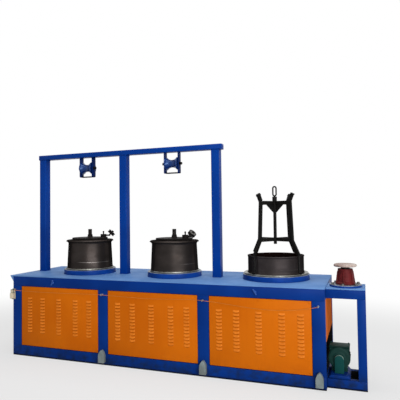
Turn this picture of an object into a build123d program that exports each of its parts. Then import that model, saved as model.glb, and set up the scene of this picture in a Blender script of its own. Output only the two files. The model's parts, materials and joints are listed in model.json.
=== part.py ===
from build123d import *
import os

os.makedirs("parts", exist_ok=True)

# Cabinet: x runs along the line from its left end, y from its front face, z from the floor
bench_height = 860
cabinet_depth = 900
post_width = 110
frame_depth = 60
last_bay_trim = 34
rail_height = 110
apron_height = 100
plate_thickness = 10
lip_reach = 42
lip_drop = 62
lip_edge = 4
end_opening_top = 375

# Louvred sheet panels
panel_thickness = 4
panel_recess = 3
louvre_width = 58
louvre_height = 20
louvre_depth = 9
louvre_pitch = 39.3
louvre_rows = 10
louvre_columns = (-370, -206, 0, 206, 370)
end_louvre_columns = (-206, 0, 206)
louvre_first_height = 155

# Overhead frame and hanging guide rollers
centre_line = cabinet_depth / 2 + 6
overhead_tube = 88
overhead_corner = 8
overhead_first = 59
overhead_spacing = 1077
beam_bottom = 2172
beam_height = 55
beam_overhang_left = 10
beam_overhang_right = 25
guide_shifts = (57.5, 43.5)
guide_plate_gap = 154
guide_plate_thickness = 7
guide_plate_depth = 72
guide_plate_drop = 226
guide_plate_corner = 14
guide_axle_drop = 122
guide_axle_radius = 11
guide_axle_overhang = 16
guide_rod_drop = 222
guide_rod_radius = 7
guide_rod_bend = 22
guide_rod_overhang = 8
roller_radius = 68
roller_waist = 41
roller_flange = 13
roller_end_clearance = 5
running_clearance = 0.05
seat_clearance = 0.3

# Drawing drums and the round seats they turn on
moving_clearance = 5
drum_shifts = (87, 58)
seat_radius = 285
seat_edge = 3
seat_height = 52
shaft_radius = 35
shaft_pocket = 40
drum_lip_radius = 262
drum_foot_radius = 252
drum_radius = 239
drum_flange_radius = 262
drum_flange_depth = 42
drum_flange_edge = 6
drum_flange_slope = 11
drum_height = 318
drum_web = 30
drum_lip_height = 9
spindle_radius = 21
spindle_rise = 117

# Turntables with their guide arms and tilted sheaves
turntable_radius = 197
turntable_thickness = 18
turntable_edge = 3
turntable_hub_radius = 38
turntable_neck_radius = 27
turntable_hub_height = 34
arm_angles = (27, -17)
arm_hub_reach = 150
arm_hub_radius = 33
arm_hub_height = 34
arm_bar_end = 226
arm_bar_width = 26
arm_bar_height = 16
arm_bar_lift = 12
arm_knob_radius = 10
arm_knob_rise = 70
sheave_reach = 240
sheave_lift = 47
sheave_tilt = 45
sheave_radius = 43
sheave_groove_radius = 33
sheave_groove_width = 8
sheave_rim = 7
sheave_width = 32
stud_radius = 8
stud_root = 38
stud_nut_radius = 14
stud_nut_height = 8

# Finishing block with its lift-off wire stripper
block_post_gap = 220
block_right_margin = 507
block_setback = 56
block_seat_radius = 325
block_lip_radius = 314
block_lip_height = 8
block_radius = 274
block_wall = 22
block_height = 176
block_floor = 43
block_hub_height = 84
block_hub_foot = 70
block_hub_radius = 64
block_hub_web = 16
block_rim = 4
block_rim_height = 10
block_taper = 6
block_foot_rise = 16
stripper_turn = 13.1
stripper_top_radius = 196
stripper_knee_radius = 216
stripper_leg_width = 32
stripper_leg_thickness = 22
stripper_leg_rise = 603
stripper_leg_flare = 34
stripper_flare_rise = 533
stripper_knee_rise = 147
stripper_ankle_clearance = 11
stripper_side_clearance = 6
finger_radius = 8.5
finger_bend = 16
finger_toe = 30
cross_bar_height = 35
cross_bar_thickness = 16
cross_bar_upper_rise = 499
cross_bar_lower_rise = 135
gusset_half_width = 113
gusset_drop = 96
gusset_thickness = 10
centre_rod_radius = 16
centre_rod_rise = 107
collar_radius = 23
collar_height = 44
link_width = 47
link_height = 107
link_bar_radius = 7.5
leg_pin_radius = 6
leg_pin_length = 58
leg_pin_drop = 10

# Side table with the vertical spindle
table_length = 326
table_front = 80
table_back = 395
table_step = 8
table_plate = 10
table_apron = 77
table_post_width = 71
table_post_depth = 50
table_rail = 80
spindle_reach = 161
flange_radius = 137
flange_height = 20
housing_foot_radius = 86
housing_foot_height = 12
housing_bottom_radius = 72
housing_top_radius = 64
housing_height = 134
housing_rib = 10
housing_rib_count = 6
housing_rib_root = 12
housing_rib_proud = 7
neck_radius = 38
neck_depth = 60
neck_gap = 19
disc_radius = 99
disc_thickness = 23
disc_edge_low = 7
disc_edge_high = 15
disc_slope = 9
disc_dish = 2

# Drive motor under the side table
motor_reach = 97
motor_axis_height = 228
motor_front = 176
motor_shield_radius = 93
motor_shield_thickness = 18
motor_radius = 82
motor_length = 190
motor_box_width = 170
motor_box_length = 130
motor_box_inset = 26
motor_box_top = 326
motor_foot_width = 132
motor_foot_inset = 40
pedestal_width = 78
pedestal_thickness = 26
pedestal_drop = 5
base_top = 106
base_width = 186
base_top_width = 136
base_front = 104
base_back = 385

# Foot covers, emergency-stop wire and apron fittings
cover_width = 66
cover_bottom = 30
cover_height = 127
cover_spring = 62
cover_depth = 45
wire_drop = 155
wire_sags = (6, 10, 46)
wire_stand_off = 26
wire_radius = 2
eyelet_radius = 7
eyelet_bar = 2.5
switch_width = 46
switch_overhang = 14
switch_height = 114
switch_depth = 40
switch_corner = 5
switch_wire_drop = 14

overhead_last = overhead_first + 2 * overhead_spacing
block_x = overhead_last + overhead_tube / 2 + block_post_gap + block_seat_radius
cabinet_length = block_x + block_right_margin
bay_width = (cabinet_length - 4 * post_width + last_bay_trim) / 3
bay_widths = (bay_width, bay_width, bay_width - last_bay_trim)
overall_right = cabinet_length + table_length
origin_x = (overall_right - lip_reach) / 2
origin_y = (cabinet_depth + louvre_depth - panel_recess - cover_depth) / 2
top_frame_top = bench_height - plate_thickness
bay_middles = [overhead_first + (number + 0.5) * overhead_spacing for number in range(2)]
drum_positions = [(middle + shift, centre_line) for middle, shift in zip(bay_middles, drum_shifts)]
guide_positions = [middle + shift for middle, shift in zip(bay_middles, guide_shifts)]
panel_top = top_frame_top - apron_height
panel_height = panel_top - rail_height
seat_top = bench_height + seat_height
drum_bottom = seat_top + moving_clearance
drum_top = drum_bottom + drum_height


def save(node, shape):
    export_step(Pos(-origin_x, -origin_y, 0) * shape, f"parts/{node}.step")


def block(x_low, x_high, y_low, y_high, z_low, z_high):
    middle = ((x_low + x_high) / 2, (y_low + y_high) / 2, (z_low + z_high) / 2)
    return Pos(*middle) * Box(x_high - x_low, y_high - y_low, z_high - z_low)


def turned(points):
    return revolve(make_face(Plane.XZ * Polyline(*points, close=True)), Axis.Z)


def post_edges():
    edges = []
    start = 0
    for width in (*bay_widths, 0):
        edges.append((start, start + post_width))
        start = start + post_width + width
    return edges


def long_rails(bottom, top):
    front = block(0, cabinet_length, 0, frame_depth, bottom, top)
    return Compound([front, Pos(0, cabinet_depth - frame_depth, 0) * front])


def cross_rails(bottom, top):
    edges = post_edges()
    spans = [(0, frame_depth), edges[1], edges[2], (cabinet_length - frame_depth, cabinet_length)]
    back = cabinet_depth - frame_depth
    return [block(low, high, frame_depth, back, bottom, top) for low, high in spans]


def louvre_hood():
    profile = Polyline((0, 0), (0, -louvre_height), (-louvre_depth, -louvre_height), close=True)
    return extrude(make_face(Plane.YZ * profile), louvre_width / 2, both=True)


def louvred_panel(width, columns):
    panel = Pos(0, panel_thickness / 2, panel_height / 2) * Box(width, panel_thickness, panel_height)
    hood = louvre_hood()
    spots = [(x, 0, louvre_first_height + row * louvre_pitch) for x in columns for row in range(louvre_rows)]
    return panel + [Pos(*spot) * hood for spot in spots]


# Welded cabinet frame
save("bottom_rails", long_rails(0, rail_height))
save("top_rails", long_rails(panel_top, top_frame_top))
save("cross_rails", Compound(cross_rails(0, rail_height) + cross_rails(panel_top, top_frame_top)))
front_posts = [block(low, high, 0, frame_depth, rail_height, panel_top) for low, high in post_edges()]
rear_posts = [Pos(0, cabinet_depth - frame_depth, 0) * post for post in front_posts]
save("cabinet_posts", Compound(front_posts + rear_posts))

plate_profile = Polyline(
    (-lip_reach, bench_height),
    (cabinet_length, bench_height),
    (cabinet_length, top_frame_top),
    (0, top_frame_top),
    (0, bench_height - lip_drop),
    (-lip_reach, bench_height - lip_edge),
    close=True,
)
save("top_plate", extrude(make_face(Plane.XZ * plate_profile), cabinet_depth, dir=(0, 1, 0)))

# Orange panels: front, rear and ends
rear_panels = []
for number, width in enumerate(bay_widths):
    middle = post_edges()[number][1] + width / 2
    panel = louvred_panel(width, louvre_columns)
    save(f"front_panel_{number + 1}", Pos(middle, panel_recess, rail_height) * panel)
    rear_panels.append(Pos(middle, cabinet_depth - panel_recess, rail_height) * Rot(0, 0, 180) * panel)
save("rear_panels", Compound(rear_panels))

end_width = cabinet_depth - 2 * frame_depth
left_panel = Rot(0, 0, -90) * louvred_panel(end_width, end_louvre_columns)
save("left_end_panel", Pos(panel_recess, cabinet_depth / 2, rail_height) * left_panel)
right_face = cabinet_length - panel_recess
save("right_end_panel", block(right_face - panel_thickness, right_face, frame_depth,
                              cabinet_depth - frame_depth, end_opening_top, panel_top))

# Overhead frame
tube = RectangleRounded(overhead_tube, overhead_tube, overhead_corner)
overhead_posts = []
for number in range(3):
    spot = Pos(overhead_first + number * overhead_spacing, centre_line, bench_height)
    overhead_posts.append(spot * extrude(tube, beam_bottom - bench_height))
save("overhead_posts", Compound(overhead_posts))
beam_section = Plane.YZ * RectangleRounded(overhead_tube, beam_height, overhead_corner)
beam_left = overhead_first - overhead_tube / 2 - beam_overhang_left
beam_length = 2 * overhead_spacing + overhead_tube + beam_overhang_left + beam_overhang_right
beam = Pos(beam_left, centre_line, beam_bottom + beam_height / 2) * extrude(beam_section, beam_length)
save("overhead_beam", beam)


# Hanging guide rollers
def guide_bracket():
    side = Pos(0, -guide_plate_drop / 2) * Rectangle(guide_plate_depth, guide_plate_drop)
    side = fillet(side.vertices().group_by(Axis.Y)[0], guide_plate_corner)
    plate = extrude(Plane.YZ * side, guide_plate_thickness)
    inner = guide_plate_gap / 2
    outer = inner + guide_plate_thickness
    axle_length = 2 * (outer + guide_axle_overhang)
    axle = Pos(0, 0, -guide_axle_drop) * Rot(0, 90, 0) * Cylinder(guide_axle_radius, axle_length)
    rod_left = -(inner + outer) / 2
    rod_path = FilletPolyline(
        (rod_left, 0, guide_rod_bend - guide_rod_drop + 2), (rod_left, 0, -guide_rod_drop),
        (outer + guide_rod_overhang, 0, -guide_rod_drop), radius=guide_rod_bend,
    )
    rod = sweep(Plane(origin=rod_path @ 0, z_dir=rod_path % 0) * Circle(guide_rod_radius), rod_path)
    return Pos(inner, 0, 0) * plate + Pos(-outer, 0, 0) * plate + axle + rod


def guide_roller():
    half = guide_plate_gap / 2 - roller_end_clearance
    bore = guide_axle_radius + running_clearance
    waist_half = half - roller_flange
    with BuildSketch(Plane.XZ) as section:
        with BuildLine():
            Polyline((waist_half, roller_radius), (half, roller_radius), (half, bore))
            Line((half, bore), (-half, bore))
            Polyline((-half, bore), (-half, roller_radius), (-waist_half, roller_radius))
            ThreePointArc((-waist_half, roller_radius), (0, roller_waist), (waist_half, roller_radius))
        make_face()
    return revolve(section.sketch, Axis.X)


brackets = [Pos(position, centre_line, beam_bottom) * guide_bracket() for position in guide_positions]
save("guide_brackets", Compound(brackets))
for number, position in enumerate(guide_positions):
    roller_place = Pos(position, centre_line, beam_bottom - guide_axle_drop)
    save(f"guide_roller_{number + 1}", roller_place * guide_roller())


# Drum seats, drums and spindles
def drum_seat(radius):
    pocket = shaft_radius + running_clearance
    return turned([
        (0, 0), (radius, 0), (radius, seat_height - seat_edge), (radius - seat_edge, seat_height),
        (pocket, seat_height), (pocket, seat_height - shaft_pocket), (0, seat_height - shaft_pocket),
    ])


def drawing_drum():
    bore = shaft_radius + seat_clearance
    neck = spindle_radius + seat_clearance
    flange_foot = drum_height - drum_flange_depth
    tip_top = drum_height - drum_flange_slope
    tip_bottom = tip_top - drum_flange_edge
    swell = (drum_radius + 6, (flange_foot + tip_bottom) / 2 + 3)
    with BuildSketch(Plane.XZ) as section:
        with BuildLine():
            Polyline((bore, 0), (drum_lip_radius, 0), (drum_lip_radius, drum_lip_height),
                     (drum_foot_radius, drum_lip_height), (drum_radius, flange_foot))
            ThreePointArc((drum_radius, flange_foot), swell, (drum_flange_radius, tip_bottom))
            Polyline((drum_flange_radius, tip_bottom), (drum_flange_radius, tip_top),
                     (drum_flange_radius - drum_flange_slope, drum_height), (neck, drum_height),
                     (neck, drum_height - drum_web), (bore, drum_height - drum_web), (bore, 0))
        make_face()
    return revolve(section.sketch, Axis.Z)


def spindle(shoulder, top):
    bottom = seat_top - shaft_pocket + 2
    chamfer_size = 4
    return turned([
        (0, bottom), (shaft_radius, bottom), (shaft_radius, shoulder), (spindle_radius, shoulder),
        (spindle_radius, top - chamfer_size), (spindle_radius - chamfer_size, top), (0, top),
    ])


turntable_bottom = drum_top + moving_clearance
turntable_top = turntable_bottom + turntable_thickness


def turntable():
    bore = spindle_radius + running_clearance
    hub_top = turntable_thickness + turntable_hub_height
    with BuildSketch(Plane.XZ) as section:
        with BuildLine():
            Polyline((bore, 0), (turntable_radius, 0),
                     (turntable_radius, turntable_thickness - turntable_edge),
                     (turntable_radius - turntable_edge, turntable_thickness),
                     (turntable_hub_radius, turntable_thickness))
            ThreePointArc((turntable_hub_radius, turntable_thickness),
                          (turntable_neck_radius + 4, turntable_thickness + turntable_hub_height / 4),
                          (turntable_neck_radius, hub_top))
            Polyline((turntable_neck_radius, hub_top), (bore, hub_top), (bore, 0))
        make_face()
    return revolve(section.sketch, Axis.Z)


def sheave_place():
    return Pos(sheave_reach, 0, sheave_lift) * Rot(0, 90 - sheave_tilt, 0)


def guide_arm():
    hub = Pos(arm_hub_reach, 0, arm_hub_height / 2) * Cylinder(arm_hub_radius, arm_hub_height)
    stem = Pos(arm_hub_reach, 0, 0) * extrude(Circle(arm_knob_radius - 3), arm_knob_rise - arm_knob_radius)
    knob = Pos(arm_hub_reach, 0, arm_knob_rise - arm_knob_radius) * Sphere(arm_knob_radius)
    bar = block(arm_hub_reach, arm_bar_end, -arm_bar_width / 2, arm_bar_width / 2,
                arm_bar_lift, arm_bar_lift + arm_bar_height)
    stud_high = sheave_width / 2 + moving_clearance
    stud = Pos(0, 0, (stud_high - stud_root) / 2) * Cylinder(stud_radius, stud_high + stud_root)
    nut = Pos(0, 0, stud_high) * extrude(RegularPolygon(stud_nut_radius, 6), stud_nut_height)
    return hub + stem + knob + bar + sheave_place() * (stud + nut)


def sheave():
    half = sheave_width / 2
    bore = stud_radius + running_clearance
    groove = sheave_groove_width / 2
    return turned([
        (bore, -half), (sheave_radius, -half), (sheave_radius, -half + sheave_rim),
        (sheave_groove_radius, -groove), (sheave_groove_radius, groove), (sheave_radius, half - sheave_rim),
        (sheave_radius, half), (bore, half),
    ])


seats = [Pos(x, y, bench_height) * drum_seat(seat_radius) for x, y in drum_positions]
for number, (x, y) in enumerate(drum_positions):
    save(f"drum_{number + 1}", Pos(x, y, drum_bottom) * drawing_drum())
    save(f"spindle_{number + 1}", Pos(x, y, 0) * spindle(drum_top - drum_web, drum_top + spindle_rise))
    save(f"turntable_{number + 1}", Pos(x, y, turntable_bottom) * turntable())
    arm_place = Pos(x, y, turntable_top) * Rot(0, 0, arm_angles[number])
    save(f"guide_arm_{number + 1}", arm_place * guide_arm())
    save(f"sheave_{number + 1}", arm_place * sheave_place() * sheave())


# Finishing block
block_y = centre_line + block_setback
block_top = drum_bottom + block_height
hub_top = drum_bottom + block_hub_height


def finishing_block():
    bore = shaft_radius + seat_clearance
    neck = spindle_radius + seat_clearance
    inner = block_radius - block_wall
    rim = block_radius + block_rim
    rim_foot = block_height - block_rim_height
    web_bottom = block_hub_height - block_hub_web
    return turned([
        (bore, 0), (block_lip_radius, 0), (block_lip_radius, block_lip_height), (rim, block_lip_height),
        (block_radius, block_lip_height + block_foot_rise), (block_radius, rim_foot - block_taper),
        (rim, rim_foot), (rim, block_height), (inner, block_height), (inner, block_floor),
        (block_hub_foot, block_floor), (block_hub_radius, block_hub_height), (neck, block_hub_height),
        (neck, web_bottom), (bore, web_bottom),
    ])


seats.append(Pos(block_x, block_y, bench_height) * drum_seat(block_seat_radius))
save("drum_seats", Compound(seats))
save("drum_3", Pos(block_x, block_y, drum_bottom) * finishing_block())
save("spindle_3", Pos(block_x, block_y, 0) * spindle(hub_top - block_hub_web, hub_top + drum_web))


# Lift-off stripper standing on the lip of the finishing block
stripper_leg_top = block_top + stripper_leg_rise
stripper_ankle = block_top + stripper_ankle_clearance
cross_bar_upper = block_top + cross_bar_upper_rise
cross_bar_lower = block_top + cross_bar_lower_rise
finger_line = block_radius + block_rim + stripper_side_clearance + finger_radius


def stripper_leg():
    path = Polyline(
        (stripper_top_radius + stripper_leg_flare, stripper_leg_top),
        (stripper_top_radius, block_top + stripper_flare_rise),
        (stripper_knee_radius, block_top + stripper_knee_rise),
        (finger_line, stripper_ankle),
    )
    bar = extrude(trace(Plane.XZ * path, stripper_leg_thickness), stripper_leg_width / 2, both=True)
    toe_height = drum_bottom + block_lip_height + finger_radius
    finger_path = FilletPolyline(
        (finger_line, 0, stripper_ankle), (finger_line, 0, toe_height),
        (finger_line + finger_toe, 0, toe_height), radius=finger_bend,
    )
    finger = sweep(Plane(origin=finger_path @ 0, z_dir=finger_path % 0) * Circle(finger_radius), finger_path)
    pin_reach = stripper_top_radius + stripper_leg_flare - leg_pin_radius / 2
    pin_place = Pos(pin_reach, 0, stripper_leg_top - leg_pin_drop) * Rot(90, 0, 0)
    return bar + finger + pin_place * Cylinder(leg_pin_radius, leg_pin_length)


def cross_bar(bottom):
    reach = stripper_knee_radius
    half = cross_bar_thickness / 2
    return block(-reach, reach, -half, half, bottom, bottom + cross_bar_height)


def gusset():
    corners = [(-gusset_half_width, cross_bar_upper), (gusset_half_width, cross_bar_upper),
               (0, cross_bar_upper - gusset_drop)]
    return extrude(make_face(Plane.XZ * Polyline(*corners, close=True)), gusset_thickness / 2, both=True)


collar_bottom = cross_bar_upper + cross_bar_height
legs = [Rot(0, 0, 90 * quarter) * stripper_leg() for quarter in range(4)]
brace = cross_bar(cross_bar_upper) + cross_bar(cross_bar_lower) + gusset()
rod_bottom = block_top + centre_rod_rise
centre_rod = Pos(0, 0, rod_bottom) * extrude(Circle(centre_rod_radius), collar_bottom - rod_bottom)
collar = Pos(0, 0, collar_bottom) * extrude(Circle(collar_radius), collar_height)
braces = centre_rod + collar + brace + Rot(0, 0, 90) * brace
for leg in legs:
    braces -= leg
stripper_place = Pos(block_x, block_y, 0) * Rot(0, 0, 45 + stripper_turn)
save("stripper_legs", stripper_place * Compound(legs))
save("stripper_braces", stripper_place * braces.solids().sort_by(SortBy.VOLUME)[-1])

link_bar = 2 * link_bar_radius
link_path = Plane.XZ * SlotOverall(link_height - link_bar, link_width - link_bar, rotation=90).wire()
link_section = Plane(origin=link_path @ 0, z_dir=link_path % 0) * Circle(link_bar_radius)
link = sweep(link_section, link_path)
link_middle = collar_bottom + collar_height + link_height / 2
save("lifting_link", Pos(block_x, block_y, link_middle) * Rot(0, 0, stripper_turn) * link)

# Side table
table_height = bench_height - table_step
table_left = cabinet_length
table_right = overall_right
table_under = table_height - table_plate
apron_bottom = table_under - table_apron
save("side_table_top", block(table_left, table_right, table_front, table_back, table_under, table_height))


def open_ring(height):
    outline = Rectangle(table_length, table_back - table_front)
    hole = Rectangle(table_length - table_post_width, table_back - table_front - 2 * table_post_depth)
    return extrude(outline - Pos(-table_post_width / 2, 0) * hole, height)


ring_place = Pos((table_left + table_right) / 2, (table_front + table_back) / 2, 0)
table_rings = [open_ring(table_rail), Pos(0, 0, apron_bottom) * open_ring(table_apron)]
save("side_table_rails", Compound([ring_place * ring for ring in table_rings]))
table_posts = []
for low in (table_front, table_back - table_post_depth):
    table_posts.append(block(table_right - table_post_width, table_right, low, low + table_post_depth,
                             table_rail, apron_bottom))
save("side_table_posts", Compound(table_posts))

# Vertical spindle on the side table
flange_top = table_height + flange_height
housing_top = flange_top + housing_height
spindle_place = Pos(table_left + spindle_reach, (table_front + table_back) / 2, 0)
flange = extrude(Circle(flange_radius), flange_height)
save("side_spindle_flange", spindle_place * Pos(0, 0, table_height) * flange)

bearing_bore = neck_radius + running_clearance
foot_top = flange_top + housing_foot_height
housing = turned([
    (0, flange_top), (housing_foot_radius, flange_top), (housing_foot_radius, foot_top),
    (housing_bottom_radius, foot_top + housing_foot_radius - housing_bottom_radius),
    (housing_top_radius, housing_top), (bearing_bore, housing_top),
    (bearing_bore, housing_top - neck_depth), (0, housing_top - neck_depth),
])
rib_root = neck_radius + housing_rib_root
rib_profile = Polyline(
    (rib_root, foot_top - housing_rib),
    (housing_foot_radius, foot_top - housing_rib),
    (housing_foot_radius, foot_top),
    (housing_top_radius + housing_rib_proud, housing_top - 2 * housing_rib),
    (rib_root, housing_top - housing_rib),
    close=True,
)
rib = extrude(make_face(Plane.XZ * rib_profile), housing_rib / 2, both=True)
for number in range(housing_rib_count):
    housing += Rot(0, 0, number * 360 / housing_rib_count + 20) * rib
save("side_spindle_housing", spindle_place * housing)

disc_bottom = housing_top + neck_gap
disc_top = disc_bottom + disc_thickness
neck_bottom = housing_top - neck_depth + 2
disc = turned([
    (0, neck_bottom), (neck_radius, neck_bottom), (neck_radius, disc_bottom),
    (disc_radius - disc_edge_low, disc_bottom), (disc_radius, disc_bottom + disc_edge_low),
    (disc_radius, disc_bottom + disc_edge_high), (disc_radius - disc_slope, disc_top),
    (0, disc_top - disc_dish),
])
save("side_spindle_disc", spindle_place * disc)

# Drive motor on its pedestal and sloped base
motor_x = table_left + motor_reach
motor_z = motor_axis_height
motor_back = motor_front + motor_length
motor_axis = Pos(motor_x, motor_front, motor_z) * Rot(-90, 0, 0)
shell = extrude(Circle(motor_shield_radius), motor_shield_thickness)
shell += extrude(Circle(motor_radius), motor_length)
feet = block(motor_x - motor_foot_width / 2, motor_x + motor_foot_width / 2, motor_front + motor_foot_inset,
             motor_back - motor_foot_inset / 2, base_top, motor_z)
box_front = motor_front + motor_box_inset
terminal_box = block(motor_x - motor_box_width / 2, motor_x + motor_box_width / 2, box_front,
                     box_front + motor_box_length, motor_z + motor_radius / 2, motor_box_top)
save("motor", motor_axis * shell + feet + terminal_box)

arch_centre = motor_z - pedestal_drop
pedestal = Pos(motor_x, (base_top + arch_centre) / 2) * Rectangle(pedestal_width, arch_centre - base_top)
pedestal += Pos(motor_x, arch_centre) * Circle(pedestal_width / 2)
pedestal_plane = Plane.XZ.offset(pedestal_thickness - motor_front)
save("motor_pedestal", extrude(pedestal_plane * pedestal, -pedestal_thickness))

base_profile = Polyline(
    (motor_x - base_width / 2, table_rail), (motor_x + base_width / 2, table_rail),
    (motor_x + base_top_width / 2, base_top), (motor_x - base_top_width / 2, base_top), close=True,
)
base_face = Plane.XZ.offset(-base_front) * make_face(base_profile)
save("motor_base", extrude(base_face, -(base_back - base_front)))

# Foot covers at the feet of the posts
cover_half = cover_width / 2
cover_arch = cover_height - cover_spring
cover_shoulder = (0.73 * cover_half, cover_spring + 0.56 * cover_arch)
with BuildSketch(Plane.XZ) as cover_face:
    with BuildLine():
        Polyline((-cover_half, cover_spring), (-cover_half, 0), (cover_half, 0), (cover_half, cover_spring))
        right_arch = ThreePointArc((cover_half, cover_spring), cover_shoulder, (0, cover_height))
        mirror(right_arch, about=Plane.YZ)
    make_face()
cover = Pos(0, 0, cover_bottom) * extrude(cover_face.sketch, cover_depth)
cover_spots = [(low + high) / 2 for low, high in post_edges()[1:]]
save("foot_covers", Compound([Pos(x, 0, 0) * cover for x in cover_spots]))

# Emergency-stop pull wire along the front
wire_height = bench_height - wire_drop
switch_right = switch_width - switch_overhang
wire_ends = [switch_right, *cover_spots]
wire_points = [(switch_right, -wire_stand_off, wire_height)]
for start, end, sag in zip(wire_ends, wire_ends[1:], wire_sags):
    wire_points.append(((start + end) / 2, -wire_stand_off, wire_height - sag))
    wire_points.append((end, -wire_stand_off, wire_height))
wire_path = Spline(*wire_points)
save("stop_wire", sweep(Plane(origin=wire_path @ 0, z_dir=wire_path % 0) * Circle(wire_radius), wire_path))

ring_radius = eyelet_radius + eyelet_bar
eyelets = []
for x in cover_spots:
    ring = Rot(0, 90, 0) * Torus(ring_radius, eyelet_bar)
    stem_length = wire_stand_off - ring_radius
    stem = Pos(0, ring_radius + stem_length / 2, 0) * Rot(90, 0, 0) * Cylinder(eyelet_bar, stem_length)
    eyelets.append(Pos(x, -wire_stand_off, wire_height) * (ring + stem))
save("wire_eyelets", Compound(eyelets))

switch_top = wire_height + switch_wire_drop
switch_body = block(-switch_overhang, switch_right, -switch_depth, 0, switch_top - switch_height, switch_top)
save("stop_switch", fillet(switch_body.edges().filter_by(Axis.Z), switch_corner))
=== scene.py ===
import json
import math
import bpy
import bmesh
from mathutils import Matrix, Vector


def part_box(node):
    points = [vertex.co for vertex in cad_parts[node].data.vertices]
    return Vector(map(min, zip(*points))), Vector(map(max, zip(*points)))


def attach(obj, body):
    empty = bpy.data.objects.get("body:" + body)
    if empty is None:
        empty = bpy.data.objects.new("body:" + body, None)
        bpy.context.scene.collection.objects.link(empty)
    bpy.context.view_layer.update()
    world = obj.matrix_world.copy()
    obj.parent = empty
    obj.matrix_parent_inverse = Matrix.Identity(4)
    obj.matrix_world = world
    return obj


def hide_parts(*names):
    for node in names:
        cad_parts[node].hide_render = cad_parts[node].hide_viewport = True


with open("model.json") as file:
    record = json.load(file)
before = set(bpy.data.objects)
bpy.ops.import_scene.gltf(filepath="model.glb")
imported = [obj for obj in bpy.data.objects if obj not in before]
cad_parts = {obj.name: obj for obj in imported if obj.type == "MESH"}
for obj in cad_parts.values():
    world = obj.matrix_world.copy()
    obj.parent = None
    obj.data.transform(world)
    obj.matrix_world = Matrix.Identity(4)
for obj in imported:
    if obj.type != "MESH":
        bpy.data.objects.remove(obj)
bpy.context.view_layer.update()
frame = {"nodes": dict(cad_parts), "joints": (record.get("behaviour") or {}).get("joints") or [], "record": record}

scene = bpy.context.scene
scene.view_settings.view_transform = "Standard"
record = frame["record"]
bodyOf = {node: body for body, nodes in record["behaviour"]["bodies"].items() for node in nodes}
slotOf = {part["node"]: part["material_slot"] for part in record["subparts"]}
rootBody = bodyOf["top_plate"]


def linkObject(name, data):
    made = bpy.data.objects.new(name, data)
    scene.collection.objects.link(made)
    return made


# camera at the photograph's place
cameraSettings = {
    "place": (1.8409, -4.3985, 1.5006), "turnLeft": 19.977, "tiltUp": 1.861, "roll": -0.745,
    "lens": 40.508, "sensor": 36, "far": 200}


def makeCamera(s):
    turn, tilt, roll = (math.radians(s[k]) for k in ("turnLeft", "tiltUp", "roll"))
    side = Vector((math.cos(turn), math.sin(turn), 0))
    ahead = Vector((-math.sin(turn), math.cos(turn), 0))
    up = Vector((0, 0, 1))
    look = math.cos(tilt) * ahead + math.sin(tilt) * up
    top = math.cos(tilt) * up - math.sin(tilt) * ahead
    right = math.cos(roll) * side + math.sin(roll) * top
    head = math.cos(roll) * top - math.sin(roll) * side
    data = bpy.data.cameras.new("camera")
    data.lens, data.sensor_width, data.clip_end = s["lens"], s["sensor"], s["far"]
    scene.camera = linkObject("camera", data)
    facing = Matrix((right, head, -look)).transposed().to_4x4()
    scene.camera.matrix_world = Matrix.Translation(s["place"]) @ facing


makeCamera(cameraSettings)
print("camera set")


# small helpers
def nodeMid(node):
    low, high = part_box(node)
    return (low + high) / 2


def standOn(node, floorNode=None):  # over a node's centre, at the underside of that node or another
    mid = nodeMid(node)
    return Matrix.Translation((mid.x, mid.y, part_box(floorNode or node)[0].z))


def ringPoints(radius, count, start=0.0):  # evenly spaced on a circle
    angles = [2 * math.pi * (k + start) / count for k in range(count)]
    return [(radius * math.cos(a), radius * math.sin(a)) for a in angles]


def meshPiece(name, bm, *mats):
    mesh = bpy.data.meshes.new(name)
    bm.to_mesh(mesh)
    bm.free()
    for key in ("custom_normal", "sharp_face"):
        if key in mesh.attributes:
            mesh.attributes.remove(mesh.attributes[key])
    for mat in mats:
        mesh.materials.append(mat)
    return linkObject(name, mesh)


def shadeByAngle(piece, degrees=32):
    piece.data.shade_smooth()
    piece.data.set_sharp_from_angle(angle=math.radians(degrees))


def settle(piece, body, slotName, *nodes):  # rides on its body and stands for its nodes
    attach(piece, body)
    if nodes:
        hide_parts(*nodes)


def fixedPiece(name, bm, mats, slotName, *nodes, degrees=32):  # on the machine's frame
    piece = meshPiece(name, bm, *mats)
    shadeByAngle(piece, degrees)
    settle(piece, rootBody, slotName, *nodes)


def softCorners(points, steps=4):  # (radius, height, rounding, finish) corners to a smooth outline
    points = [(*p, 0, 0)[:4] for p in points]
    outline = []
    for i, (r, z, soft, mat) in enumerate(points):
        if soft <= 0:
            outline.append((r, z, mat))
            continue
        here = Vector((r, z))
        before = Vector(points[i - 1][:2]) - here
        after = Vector(points[(i + 1) % len(points)][:2]) - here
        start = here + before.normalized() * min(soft, before.length * 0.49)
        end = here + after.normalized() * min(soft, after.length * 0.49)
        for k in range(steps + 1):
            t = k / steps
            p = start * (1 - t) ** 2 + here * 2 * t * (1 - t) + end * t ** 2
            outline.append((p.x, p.y, mat))
    return outline


def arcCorners(start, middle, end, steps):  # points on the arc through three (radius, height) places
    a, b, c = Vector(start), Vector(middle), Vector(end)
    d = 2 * (a.x * (b.y - c.y) + b.x * (c.y - a.y) + c.x * (a.y - b.y))
    aa, bb, cc = a.length_squared, b.length_squared, c.length_squared
    ux = (aa * (b.y - c.y) + bb * (c.y - a.y) + cc * (a.y - b.y)) / d
    uy = (aa * (c.x - b.x) + bb * (a.x - c.x) + cc * (b.x - a.x)) / d
    first, via, last = (math.atan2(p.y - uy, p.x - ux) for p in (a, b, c))
    if not min(first, last) <= via <= max(first, last):  # the arc passes behind the centre
        first, last = (x + 2 * math.pi if x < 0 else x for x in (first, last))
    radius = (a - Vector((ux, uy))).length
    sweep = [first + (last - first) * k / steps for k in range(steps + 1)]
    return [(ux + radius * math.cos(t), uy + radius * math.sin(t)) for t in sweep]


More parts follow.
